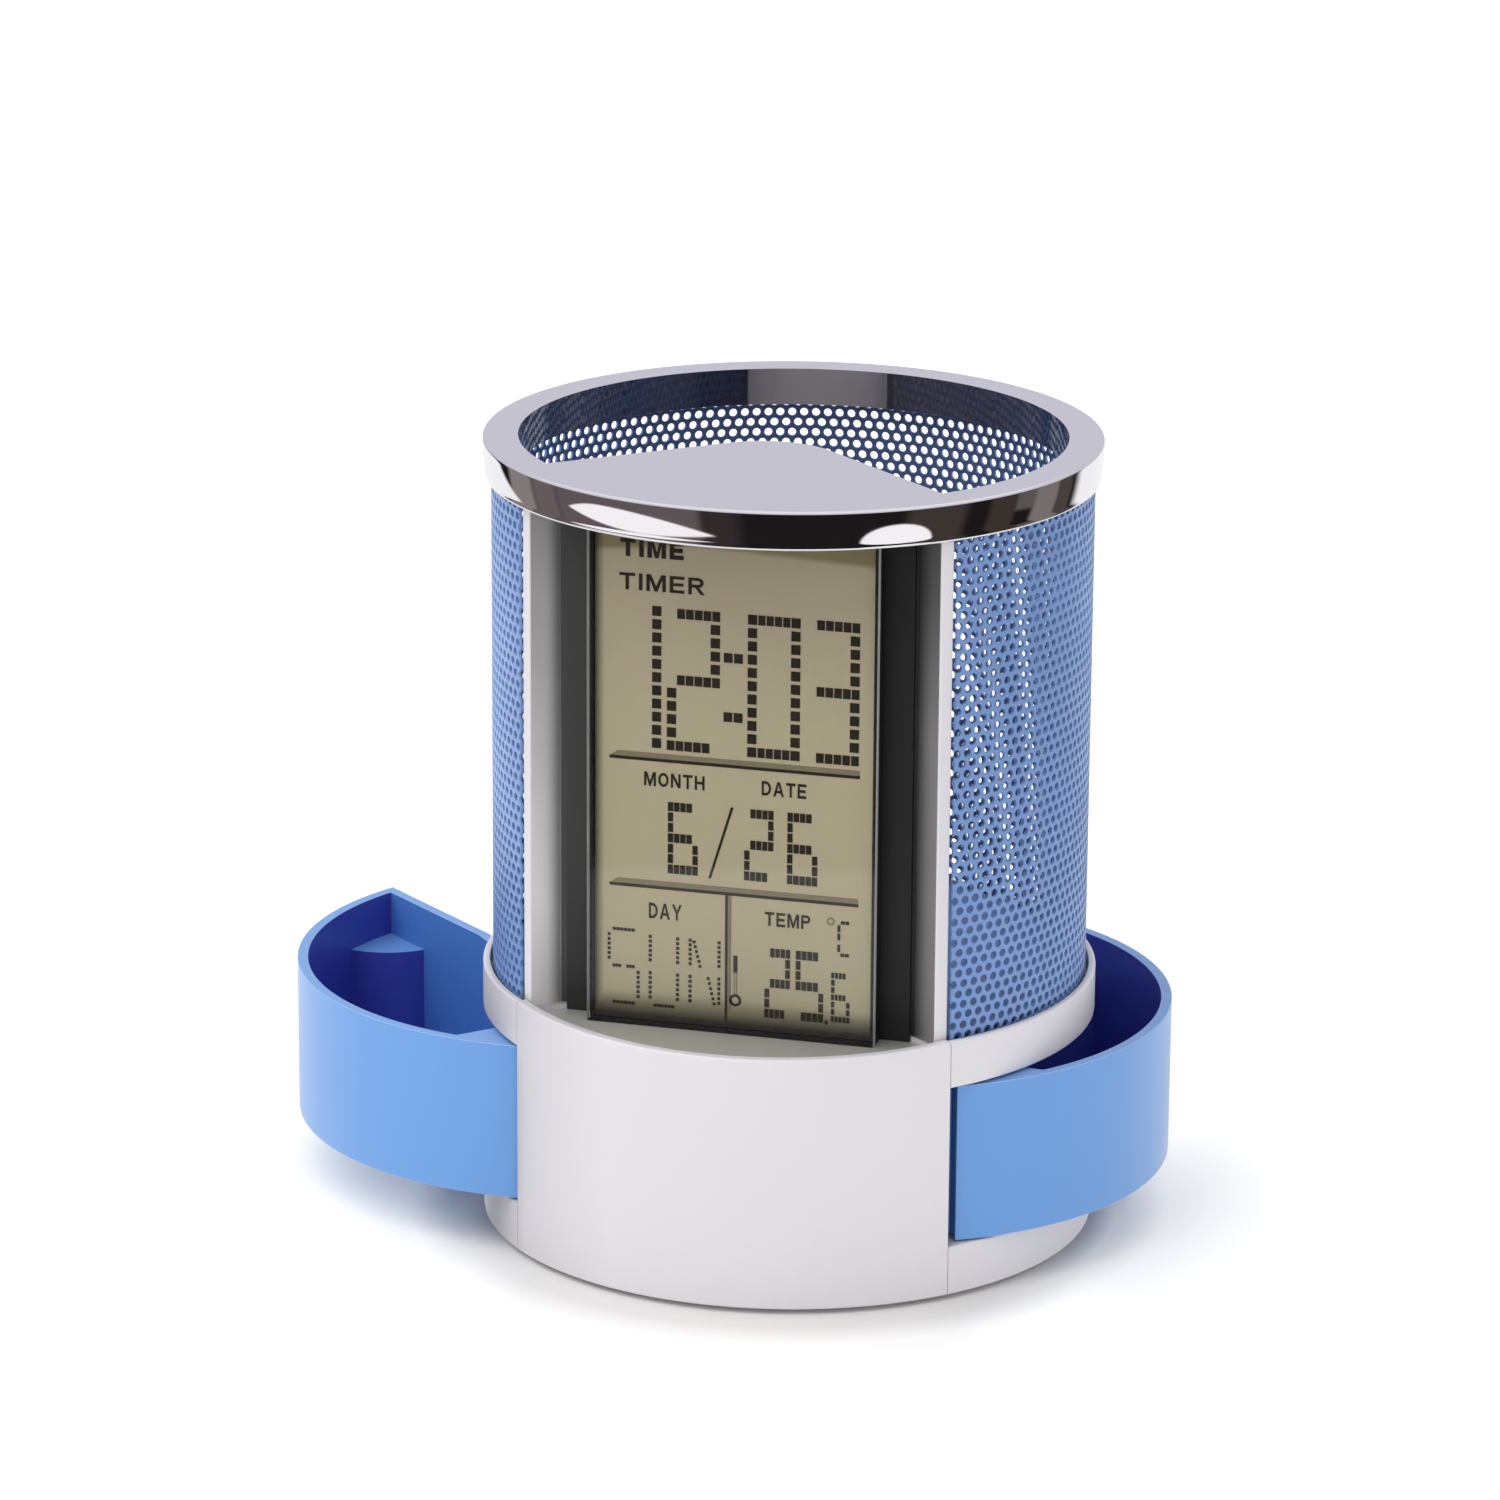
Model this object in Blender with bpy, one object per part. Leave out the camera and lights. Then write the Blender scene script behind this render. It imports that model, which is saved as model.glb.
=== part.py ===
"""Pen holder clock: perforated cup with a wedge-shaped LCD clock, a plated top ring and a base with two
swing-out drawers.  Metres, +Z up, the clock faces -Y, origin at the centre of the underside (feet on z = 0).
"""
import bpy
import bmesh
from math import sin, cos, tan, asin, atan2, sqrt, hypot, pi, radians, degrees
from mathutils import Vector

MM = 0.001

# ---------------------------------------------------------------- driving dimensions (millimetres, degrees)
BASE_R = 42.5            # base, panel and collar outer radius
FOOT_H = 0.5             # rubber feet, bottom at z = 0
SKIRT_Z = 0.7            # lower edge of the base skirt
COVER_Z0, COVER_Z1 = 0.8, 2.3
TRAY_FLOOR_Z0, TRAY_TOP = 6.0, 7.6
DRAWER_Z0, DRAWER_Z1 = 7.9, 30.0
BAND_Z0 = 30.35          # lower edge of the collar band
DECK_Z0, DECK_FLOOR = 33.4, 36.1
RIM_TOP = 36.9
MESH_R0, MESH_R1 = 40.35, 41.15
MESH_Z0, MESH_Z1 = 34.9, 109.0
MESH_END = 46.9          # half angle of the gap in the mesh, measured from the front
RING_Z0, RING_TOP = 106.1, 111.5
RING_R = 42.26
RING_HOLE_R = 37.4
PANEL_T = 1.5
PANEL_HALF = 45.4        # half angle of the front panel
PIVOT_R, PIVOT_A = 34.8, 52.0
DRAWER_R = 41.8
BARREL_R = 7.0
WALL = 1.5
LEFT_OPEN, RIGHT_OPEN = 60.5, 21.7     # how far each drawer stands open at rest
PIN_R, PIN_HOLE_R = 1.3, 1.6
NOSE_HALF = 48.3         # half angle of the flat nose over the clock
NOSE_APEX_Y, NOSE_FILLET = -1.5, 10.3
LCD_FRONT_Y = -30.7      # front face of the display window
CASE_TOP = 109.6
BEZEL_FLANGE_X = 24.05   # half width of the black backing behind the display
FLOOR_R, FLOOR_Z0, FLOOR_Z1 = 39.7, 36.4, 36.9     # sheet-metal bottom of the cup
BATTERY_Y = -14.0
KEY_Y = 17.0
SEG = 64

PX = PIVOT_R * sin(radians(PIVOT_A))
PY = -PIVOT_R * cos(radians(PIVOT_A))

for o in list(bpy.data.objects):
    bpy.data.objects.remove(o, do_unlink=True)

scene = bpy.context.scene
assembly = bpy.data.objects.new("pen_holder_clock", None)
scene.collection.objects.link(assembly)


# ---------------------------------------------------------------- materials
def material(name, rgb, rough=0.5, metal=0.0, alpha=1.0):
    m = bpy.data.materials.new(name)
    m.use_nodes = True
    b = m.node_tree.nodes["Principled BSDF"]
    b.inputs["Base Color"].default_value = (*rgb, 1.0)
    b.inputs["Roughness"].default_value = rough
    b.inputs["Metallic"].default_value = metal
    b.inputs["Alpha"].default_value = alpha
    m.diffuse_color = (*rgb, alpha)
    return m


SILVER = material("satin_silver_abs", (0.70, 0.70, 0.71), 0.45)
BLUE = material("cornflower_abs", (0.17, 0.36, 0.80), 0.3)
BLUE_MESH = material("blue_powder_coat", (0.19, 0.30, 0.56), 0.4, 0.3)
CHROME = material("chrome_plate", (0.82, 0.82, 0.84), 0.08, 1.0)
DARK = material("black_abs", (0.02, 0.02, 0.02), 0.4)
RUBBER = material("black_rubber", (0.03, 0.03, 0.03), 0.8)
GREY_RUBBER = material("grey_silicone", (0.35, 0.35, 0.36), 0.7)
CLEAR = material("clear_acrylic", (0.9, 0.9, 0.9), 0.05, 0.0, 0.3)
LCD = material("lcd_olive", (0.38, 0.35, 0.22), 0.25)
FOIL = material("reflector_foil", (0.75, 0.75, 0.7), 0.3, 0.8)
PCB = material("green_board", (0.02, 0.16, 0.06), 0.5)
STEEL = material("zinc_steel", (0.6, 0.6, 0.6), 0.3, 1.0)
BRASS = material("nickel_brass", (0.72, 0.66, 0.48), 0.3, 1.0)
RIBBON = material("ribbon_grey", (0.45, 0.45, 0.47), 0.6)


# ---------------------------------------------------------------- modelling helpers (all arguments in mm)
def add(name, bm, mat=None, parent=assembly, loc=(0, 0, 0), rot_z=0.0, smooth=35.0):
    """Make a named object from a closed bmesh whose coordinates are local millimetres."""
    bmesh.ops.remove_doubles(bm, verts=bm.verts, dist=1e-4)
    bmesh.ops.recalc_face_normals(bm, faces=bm.faces)
    bmesh.ops.scale(bm, vec=(MM, MM, MM), verts=bm.verts)
    me = bpy.data.meshes.new(name)
    bm.to_mesh(me)
    bm.free()
    me.shade_smooth()
    me.set_sharp_from_angle(angle=radians(smooth))
    ob = bpy.data.objects.new(name, me)
    if mat is not None:
        me.materials.append(mat)
    ob.location = [c * MM for c in loc]
    ob.rotation_euler = (0.0, 0.0, radians(rot_z))
    ob.parent = parent
    scene.collection.objects.link(ob)
    return ob


def tool(name, bm, parent=assembly):
    """A cutting or joining shape: not part of the product."""
    ob = add("tool_" + name, bm, None, parent)
    ob.hide_render = True
    ob.display_type = 'WIRE'
    return ob


def boolean(ob, other, op='DIFFERENCE'):
    m = ob.modifiers.new(op.lower() + "_" + other.name, 'BOOLEAN')
    m.object = other
    m.operation = op
    m.solver = 'EXACT'
    return m


def prism(outline, z0, z1, bm=None):
    bm = bm or bmesh.new()
    vs = [bm.verts.new((x, y, z0)) for x, y in outline]
    face = bm.faces.new(vs)
    ext = bmesh.ops.extrude_face_region(bm, geom=[face])
    up = [g for g in ext["geom"] if isinstance(g, bmesh.types.BMVert)]
    bmesh.ops.translate(bm, verts=up, vec=(0, 0, z1 - z0))
    return bm


def prism_x(outline, x0, x1):
    """Prism along X of an outline in the YZ plane."""
    bm = bmesh.new()
    vs = [bm.verts.new((x0, y, z)) for y, z in outline]
    face = bm.faces.new(vs)
    ext = bmesh.ops.extrude_face_region(bm, geom=[face])
    up = [g for g in ext["geom"] if isinstance(g, bmesh.types.BMVert)]
    bmesh.ops.translate(bm, verts=up, vec=(x1 - x0, 0, 0))
    return bm


def box(x0, x1, y0, y1, z0, z1, bm=None):
    return prism([(x0, y0), (x1, y0), (x1, y1), (x0, y1)], z0, z1, bm)


def circle(cx, cy, r, n=24, a0=0.0):
    return [(cx + r * cos(2 * pi * k / n + a0), cy + r * sin(2 * pi * k / n + a0)) for k in range(n)]


def rod(cx, cy, r, z0, z1, n=24, bm=None):
    return prism(circle(cx, cy, r, n), z0, z1, bm)


def turned(profile, cx=0.0, cy=0.0, seg=SEG):
    """Closed (r, z) profile turned about a vertical axis through (cx, cy)."""
    bm = bmesh.new()
    vs = [bm.verts.new((cx + r, cy, z)) for r, z in profile]
    es = []
    for i in range(len(vs)):
        a, b = profile[i], profile[(i + 1) % len(profile)]
        if a[0] < 1e-9 and b[0] < 1e-9:
            continue                       # an edge on the axis makes no surface
        es.append(bm.edges.new((vs[i], vs[(i + 1) % len(vs)])))
    bmesh.ops.spin(bm, geom=vs + es, cent=(cx, cy, 0), axis=(0, 0, 1), angle=2 * pi, steps=seg,
                   use_merge=True, use_duplicate=False)
    bmesh.ops.remove_doubles(bm, verts=bm.verts, dist=1e-4)
    return bm


def swept(profile, a0, a1, seg):
    """Closed (r, z) profile turned about the Z axis from angle a0 to a1 (degrees from the front, -Y, towards +X)."""
    bm = bmesh.new()
    p0 = radians(a0 - 90.0)
    vs = [bm.verts.new((r * cos(p0), r * sin(p0), z)) for r, z in profile]
    face = bm.faces.new(vs)
    keep = bmesh.ops.duplicate(bm, geom=[face])["geom"]
    start = [g for g in keep if isinstance(g, bmesh.types.BMFace)]
    bmesh.ops.spin(bm, geom=[face] + list(face.edges) + list(face.verts), cent=(0, 0, 0), axis=(0, 0, 1),
                   angle=radians(a1 - a0), steps=seg, use_duplicate=False)
    bmesh.ops.remove_doubles(bm, verts=bm.verts, dist=1e-4)
    return bm


def polar(r, a):
    """Point at radius r and a degrees from the front (-Y) towards +X."""
    return (r * sin(radians(a)), -r * cos(radians(a)))


def arc(r, a0, a1, n):
    return [polar(r, a0 + (a1 - a0) * k / n) for k in range(n + 1)]


def shift_line(p, q, d):
    """Line p-q moved sideways by d, to its left."""
    ux, uy = q[0] - p[0], q[1] - p[1]
    l = hypot(ux, uy)
    nx, ny = -uy / l, ux / l
    return (p[0] + nx * d, p[1] + ny * d), (q[0] + nx * d, q[1] + ny * d)


def meet(a, b):
    """Crossing point of two lines, each given by two points."""
    (x1, y1), (x2, y2) = a
    (x3, y3), (x4, y4) = b
    den = (x1 - x2) * (y3 - y4) - (y1 - y2) * (x3 - x4)
    t = ((x1 - x3) * (y3 - y4) - (y1 - y3) * (x3 - x4)) / den
    return (x1 + t * (x2 - x1), y1 + t * (y2 - y1))


def line_circle(a, r, near):
    """Where a line meets the circle of radius r about the origin, on the side of the point `near`."""
    (x1, y1), (x2, y2) = a
    dx, dy = x2 - x1, y2 - y1
    A, B, C = dx * dx + dy * dy, 2 * (x1 * dx + y1 * dy), x1 * x1 + y1 * y1 - r * r
    s = sqrt(B * B - 4 * A * C)
    pts = [(x1 + t * dx, y1 + t * dy) for t in ((-B - s) / (2 * A), (-B + s) / (2 * A))]
    return min(pts, key=lambda p: hypot(p[0] - near[0], p[1] - near[1]))


def x_at(line, y):
    (x1, y1), (x2, y2) = line
    return x1 + (y - y1) * (x2 - x1) / (y2 - y1)


def angle_of(p):
    return degrees(atan2(p[0], -p[1]))


def mirror_x(pts):
    return [(-x, y) for x, y in reversed(pts)]


# ---------------------------------------------------------------- plan of the right drawer, closed
CORNER = (0.4, sqrt(DRAWER_R ** 2 - 0.4 ** 2))       # where the two closed drawers meet at the back
ELBOW = (5.0, 16.0)                                   # end of the straight side wall
_d = hypot(PX - ELBOW[0], PY - ELBOW[1])
_base = atan2(PY - ELBOW[1], PX - ELBOW[0]) - asin(BARREL_R / _d)
_len = sqrt(_d * _d - BARREL_R * BARREL_R)
TANGENT = (ELBOW[0] + _len * cos(_base), ELBOW[1] + _len * sin(_base))   # side wall runs into the pivot barrel
SIDE_1 = (CORNER, ELBOW)
SIDE_2 = (ELBOW, TANGENT)


def drawer_outline():
    pts = arc(DRAWER_R, PIVOT_A, 179.45, 30)
    pts.append(ELBOW)
    a_start = degrees(atan2(TANGENT[1] - PY, TANGENT[0] - PX)) % 360.0
    a_end = (PIVOT_A - 90.0) % 360.0
    n = 10
    for k in range(n):
        a = radians(a_start + (a_end - a_start) * k / n)
        pts.append((PX + BARREL_R * cos(a), PY + BARREL_R * sin(a)))
    return pts


def cavity_outline():
    s1 = shift_line(*SIDE_1, WALL)
    s2 = shift_line(*SIDE_2, WALL)
    hub_dir = Vector((-0.25, 0.97)).normalized()
    hp = (PX + 5.4 * hub_dir.x, PY + 5.4 * hub_dir.y)
    hub = (hp, (hp[0] - hub_dir.y, hp[1] + hub_dir.x))
    r = DRAWER_R - WALL
    a = line_circle(hub, r, (PX, PY))
    b = line_circle(s1, r, CORNER)
    return arc(r, angle_of(a), angle_of(b), 28) + [meet(s1, s2), meet(s2, hub)]


def local(pts, px, py):
    return [(x - px, y - py) for x, y in pts]


def make_drawer(name, side, open_deg):
    """side is +1 for the right drawer and -1 for the left one; local origin on the pivot axis."""
    px = PX * side
    flip = (lambda p: p) if side > 0 else mirror_x

    def plan(pts):
        return local(flip(pts), px, PY)

    body = add(name, prism(plan(drawer_outline()), DRAWER_Z0, DRAWER_Z1), BLUE,
               loc=(px, PY, 0), rot_z=-side * open_deg)
    cx, cy = CORNER[0], CORNER[1] + 0.7
    hollow = tool(name + "_cavity", prism(plan(cavity_outline()), DRAWER_Z0 + WALL, DRAWER_Z1 + 2), body)
    step = tool(name + "_step", prism(plan(circle(cx, cy, 11.5, 32)), DRAWER_Z0 - 2, 24.7), body)
    boolean(hollow, step)
    boolean(body, hollow)
    # finger recess under the back corner, open below
    scoop = tool(name + "_scoop", prism(plan(circle(cx, cy, 10.0, 32)), DRAWER_Z0 - 3, 23.2), body)
    boolean(body, scoop)
    boolean(body, tool(name + "_pin_hole", rod(0, 0, PIN_HOLE_R, DRAWER_Z0 - 2, DRAWER_Z1 + 3, 16), body))
    return body


make_drawer("right_drawer", 1, RIGHT_OPEN)
make_drawer("left_drawer", -1, LEFT_OPEN)
for nm, s in (("right", 1), ("left", -1)):
    add(nm + "_pivot_pin", turned([(0, 3.9), (1.0, 3.9), (PIN_R, 4.2), (PIN_R, 32.4), (1.0, 32.7), (0, 32.7)],
                                  PX * s, PY, 14), STEEL)

# ---------------------------------------------------------------- base tray: floor, skirt and front wall
SCREW_REAR = (0.0, 27.0)
SCREWS_FRONT = [(16.0, -31.0), (-16.0, -31.0)]
COVER_SCREWS = [(33.5, 2.0), (-33.5, 2.0), (0.0, 34.0)]

tray = add("base_tray", turned([(0, TRAY_FLOOR_Z0), (40.7, TRAY_FLOOR_Z0), (40.7, SKIRT_Z), (42.2, SKIRT_Z),
                                (BASE_R, SKIRT_Z + 0.3), (BASE_R, TRAY_TOP - 0.3), (42.2, TRAY_TOP),
                                (0, TRAY_TOP)]), SILVER)
boolean(tray, tool("tray_front", swept([(40.55, 0), (46, 0), (46, 10), (40.55, 10)], -PANEL_HALF - 0.5,
                                       PANEL_HALF + 0.5, 20)))
boolean(tray, tool("tray_front_wall", swept([(38.9, SKIRT_Z), (40.55, SKIRT_Z), (40.55, 6.8), (38.9, 6.8)],
                                            -48.5, 48.5, 22)), 'UNION')
bosses = bmesh.new()
for s in (1, -1):
    rod(PX * s, PY, 3.0, 3.0, 6.8, 14, bosses)
for x, y in COVER_SCREWS:
    rod(x, y, 3.0, 3.6, 6.8, 14, bosses)
boolean(tray, tool("tray_bosses", bosses), 'UNION')
holes = bmesh.new()
for s in (1, -1):
    rod(PX * s, PY, PIN_HOLE_R, 3.6, 12, 14, holes)
for x, y in COVER_SCREWS:
    rod(x, y, 1.3, 1, 6.9, 12, holes)
for x, y in SCREWS_FRONT + [SCREW_REAR]:
    rod(x, y, 1.6, 1, 12, 12, holes)
rod(0, BATTERY_Y, 11.0, 1, 12, 32, holes)
boolean(tray, tool("tray_holes", holes))
boolean(tray, tool("tray_slot", box(-3.6, 3.6, -5.0, 15.2, 1.0, 12)))

# ---------------------------------------------------------------- bottom cover
cover = add("bottom_cover", turned([(0, COVER_Z0), (38.3, COVER_Z0), (38.6, COVER_Z0 + 0.3), (38.6, COVER_Z1),
                                    (0, COVER_Z1)], seg=48), SILVER)
cb = bmesh.new()
for x, y in COVER_SCREWS:
    rod(x, y, 3.3, 1.5, 3.3, 14, cb)
boolean(cover, tool("cover_bosses", cb), 'UNION')
ch = bmesh.new()
for x, y in COVER_SCREWS:
    rod(x, y, 1.3, 0, 5, 12, ch)
for k in range(4):
    rod(-12.0 + 8.0 * k, KEY_Y, 2.5, 0, 5, 16, ch)
rod(0, BATTERY_Y, 12.1, 0, 5, 36, ch)
boolean(cover, tool("cover_holes", ch))
cs = bmesh.new()
for x, y in COVER_SCREWS:
    rod(x, y, 2.3, 0, 2.3, 14, cs)
boolean(cover, tool("cover_counterbores", cs))
LUGS = (90.0, 210.0, 330.0)
notch = bmesh.new()
for a in LUGS:
    c0, c1 = radians(a + 45 - 10), radians(a + 45 + 10)
    prism([(r * cos(c), BATTERY_Y + r * sin(c)) for r, c in ((11.0, c0), (13.7, c0), (13.7, c1), (11.0, c1))], 0, 5,
          notch)
boolean(cover, tool("cover_notches", notch))

# battery door: quarter-turn disc with a coin slot and three lugs that hook over the cover
door = add("battery_door", turned([(0, 0.95), (11.5, 0.95), (11.8, 1.25), (11.8, 3.3), (10.5, 3.3), (10.5, 2.2),
                                   (0, 2.2)], 0, 0, 36), SILVER, loc=(0, BATTERY_Y, 0))
lug = bmesh.new()
for a in LUGS:
    c0, c1 = radians(a - 8), radians(a + 8)
    prism([(r * cos(c), r * sin(c)) for r, c in ((11.1, c0), (13.3, c0), (13.3, c1), (11.1, c1))], 2.6, 3.2, lug)
boolean(door, tool("door_lugs", lug, door), 'UNION')
boolean(door, tool("door_slot", box(-8, 8, -0.9, 0.9, 0, 1.5), door))

add("coin_cell", turned([(0, 2.6), (9.5, 2.6), (10.0, 3.1), (10.0, 5.8), (0, 5.8)], 0, BATTERY_Y, 28), STEEL)
add("battery_contact_negative", prism_x([(-22.0, 6.2), (14.6, 6.2), (14.6, 6.5), (-22.0, 6.5)], 0.8, 3.2), BRASS)
add("battery_contact_positive", box(10.3, 10.7, -16.0, -12.0, 3.6, 7.4), BRASS)

# set buttons, rubber keypad and their board
for k, nm in enumerate(("mode_button", "set_button", "up_button", "down_button")):
    add(nm, turned([(0, 1.0), (1.9, 1.0), (2.2, 1.3), (2.2, 2.6), (3.0, 2.6), (3.0, 3.2), (0, 3.2)], 0, 0, 16),
        DARK, loc=(-12.0 + 8.0 * k, KEY_Y, 0))
add("rubber_keypad", box(-15.5, 15.5, 14.0, 20.0, 3.8, 4.4), GREY_RUBBER)
add("button_board", box(-16.0, 16.0, 13.5, 20.5, 4.7, 5.7), PCB)

for nm, x, y in (("foot_front_left", -22.6, -22.6), ("foot_front_right", 22.6, -22.6),
                 ("foot_rear_left", -22.6, 22.6), ("foot_rear_right", 22.6, 22.6)):
    add(nm, turned([(0, 0), (3.7, 0), (4.0, 0.2), (4.0, FOOT_H), (0, FOOT_H)], x, y, 20), RUBBER)

# ---------------------------------------------------------------- base frame: hollow centre column
side_1 = shift_line(*SIDE_1, -0.5)
side_2 = shift_line(*SIDE_2, -0.5)
knee = meet(side_1, side_2)
xs = x_at(side_2, -24.0)
front_r = 38.7
half = [(x_at(side_1, 32.0), 32.0), knee, (xs, -24.0), (xs, -sqrt(front_r ** 2 - xs ** 2))]
a_half = angle_of(half[-1])
outline = half + arc(front_r, a_half, -a_half, 10)[1:-1] + mirror_x(half)
frame = add("base_frame", prism(outline, 7.9, 33.1), SILVER)
in_1 = shift_line(*SIDE_1, -0.5 - WALL)
in_2 = shift_line(*SIDE_2, -0.5 - WALL)
xi = x_at(in_2, -24.0)
inner_r = front_r - WALL
ih = [(x_at(in_2, 12.0), 12.0), (xi, -24.0), (xi, -sqrt(inner_r ** 2 - xi ** 2))]
ai = angle_of(ih[-1])
pocket = tool("column_pocket", prism(ih + arc(inner_r, ai, -ai, 10)[1:-1] + mirror_x(ih), 5.0, 36.0))
posts = bmesh.new()
for x, y in SCREWS_FRONT:
    rod(x, y, 3.1, 4.0, 37.0, 14, posts)
boolean(pocket, tool("column_posts", posts))
boolean(frame, pocket)
fh = bmesh.new()
for x, y in SCREWS_FRONT + [SCREW_REAR]:
    rod(x, y, 1.55 if y < 0 else 1.35, 4.0, 36.0, 12, fh)
boolean(frame, tool("column_holes", fh))


def screw(name, x, y, z_head, head_r, head_h, r, z_tip):
    """Pan-head screw with its head below, driven upwards."""
    add(name, turned([(0, z_head), (head_r * 0.75, z_head), (head_r, z_head + head_h * 0.45), (head_r, z_head + head_h),
                      (r, z_head + head_h), (r, z_tip - 0.6), (0, z_tip)], x, y, 12), STEEL)


screw("base_screw_front_right", *SCREWS_FRONT[0], 4.0, 2.4, 1.7, 1.25, 35.0)
screw("base_screw_front_left", *SCREWS_FRONT[1], 4.0, 2.4, 1.7, 1.25, 35.0)
screw("base_screw_rear", *SCREW_REAR, 4.0, 2.2, 1.7, 1.0, 35.0)
for nm, (x, y) in zip(("cover_screw_right", "cover_screw_left", "cover_screw_rear"), COVER_SCREWS):
    screw(nm, x, y, 1.0, 2.0, 1.0, 1.0, 6.6)

# ---------------------------------------------------------------- deck with collar, mesh groove and cup floor
HOUSING_SCREWS = [(12.6, -17.0), (-12.6, -17.0)]
deck = add("base_deck", turned([(0, DECK_Z0), (40.9, DECK_Z0), (40.9, BAND_Z0), (42.3, BAND_Z0), (BASE_R, BAND_Z0 + 0.2),
                                (BASE_R, RIM_TOP - 0.4), (42.1, RIM_TOP), (41.5, RIM_TOP), (41.5, 34.6),
                                (40.05, 34.6), (40.05, DECK_FLOOR), (0, DECK_FLOOR)]), SILVER)
boolean(deck, tool("deck_front", swept([(40.55, 28), (46, 28), (46, 40), (40.55, 40)], -PANEL_HALF - 0.4,
                                       PANEL_HALF + 0.4, 20)))
db = bmesh.new()
for s in (1, -1):
    rod(PX * s, PY, 3.2, BAND_Z0, 34.0, 14, db)
boolean(deck, tool("deck_bosses", db), 'UNION')
# solid ledge below the clock, where the groove isn't needed
boolean(deck, tool("deck_ledge", swept([(39.6, 33.8), (40.55, 33.8), (40.55, DECK_FLOOR), (39.6, DECK_FLOOR)],
                                       -45.4, 45.4, 20)), 'UNION')
dh = bmesh.new()
for s in (1, -1):
    rod(PX * s, PY, PIN_HOLE_R, 29.0, 33.0, 14, dh)
for x, y in SCREWS_FRONT:
    rod(x, y, 1.55, 30.0, 35.3, 12, dh)
rod(SCREW_REAR[0], SCREW_REAR[1], 1.3, 30.0, 35.3, 12, dh)
for x, y in HOUSING_SCREWS:
    rod(x, y, 1.35, 30.0, 40.0, 12, dh)
boolean(deck, tool("deck_holes", dh))
boolean(deck, tool("deck_slot", box(-5, 5, -20.6, -9.0, 30, 40)))

# ---------------------------------------------------------------- front panel
r0 = BASE_R - PANEL_T
panel = add("front_panel", swept([(r0, SKIRT_Z), (42.2, SKIRT_Z), (BASE_R, SKIRT_Z + 0.3), (BASE_R, RIM_TOP - 0.4),
                                  (42.1, RIM_TOP), (r0, RIM_TOP)], -PANEL_HALF, PANEL_HALF, 20), SILVER)
ribs = bmesh.new()
for a in (-24.0, 0.0, 24.0):
    prism([polar(39.2, a - 1.1), polar(41.4, a - 1.1), polar(41.4, a + 1.1), polar(39.2, a + 1.1)], 8.2, 32.8, ribs)
boolean(panel, tool("panel_ribs", ribs), 'UNION')
swing = bmesh.new()
for s in (1, -1):
    rod(PX * s, PY, 8.0, TRAY_TOP, BAND_Z0, 32, swing)       # room for the pivot end of each drawer
boolean(panel, tool("panel_swing_room", swing))

# ---------------------------------------------------------------- perforated cup wall (holes are left for the finish)
add("mesh_cup", swept([(MESH_R0, MESH_Z0), (MESH_R1, MESH_Z0), (MESH_R1, MESH_Z1), (MESH_R0, MESH_Z1)], MESH_END,
                      360.0 - MESH_END, 56), BLUE_MESH)

# ---------------------------------------------------------------- nose plan and top ring
NX, NY = sin(radians(NOSE_HALF)), -cos(radians(NOSE_HALF))


def nose_side(s, inset=0.0):
    """Point s along the right side of the nose, moved inwards by inset."""
    return (NX * s + NY * inset, NOSE_APEX_Y + NY * s - NX * inset)


def nose_tip(inset=0.0, n=8):
    """Rounded tip, from the right tangent point to the left one."""
    r = NOSE_FILLET - inset
    cy = NOSE_APEX_Y - NOSE_FILLET / sin(radians(NOSE_HALF))
    a = radians(90.0 - NOSE_HALF)
    return [(r * sin(a * (1 - 2 * k / n)), cy + r * cos(a * (1 - 2 * k / n))) for k in range(n + 1)]


ring = add("top_ring", turned([(0, 110.2), (38.0, 110.2), (38.0, 106.3), (38.6, 106.3), (38.7, 109.9),
                               (41.45, 109.9), (41.45, RING_Z0), (41.75, RING_Z0), (42.0, 106.8),
                               (RING_R, 110.9), (41.8, RING_TOP), (0, RING_TOP)]), CHROME)
far = line_circle((nose_side(10), nose_side(40)), RING_HOLE_R, nose_side(36))
a_far = angle_of(far)
mouth = arc(RING_HOLE_R, a_far, 360.0 - a_far, 48) + list(reversed(nose_tip()))
boolean(ring, tool("ring_mouth", prism(mouth, 100, 120)))
boolean(ring, tool("ring_skirt_gap", prism([(0, 6.0)] + [polar(41.2, -46.3)] + arc(41.2, -46.3, 46.3, 20)[1:-1]
                                           + [polar(41.2, 46.3)], 105.0, 110.2)))

# ---------------------------------------------------------------- bottom of the cup, notched for the clock housing
floor_far = line_circle((nose_side(10, -0.2), nose_side(40, -0.2)), FLOOR_R, nose_side(36, -0.2))
a_floor = angle_of(floor_far)
add("cup_floor", prism(arc(FLOOR_R, a_floor, 360.0 - a_floor, 48) + list(reversed(nose_tip(-0.2))), FLOOR_Z0, FLOOR_Z1),
    BLUE_MESH)

# ---------------------------------------------------------------- clock: front frame with the recess
front_out = nose_side(39.75, 0.15)
front_in = nose_side(39.75, 2.15)
back_in_y, back_out_y = -25.9, -23.7
side_in = (nose_side(10, 2.15), nose_side(40, 2.15))
side_out = (nose_side(10, 0.15), nose_side(40, 0.15))
x_bi = meet(side_in, ((0, back_in_y), (1, back_in_y)))[0]
x_bo = meet(side_out, ((0, back_out_y), (1, back_out_y)))[0]
u_half = [(x_bi, back_in_y), front_in, front_out, (x_bo, back_out_y)]
front = add("clock_front_frame", prism(u_half + mirror_x(u_half), 36.4, CASE_TOP), SILVER)
boolean(front, tool("frame_window", box(-16.8, 16.8, -28, -22, 42.2, 102.7)))
BOARD_SCREWS = [(-14.0, 105.8), (14.0, 105.8), (-14.0, 40.4), (14.0, 40.4)]


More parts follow.
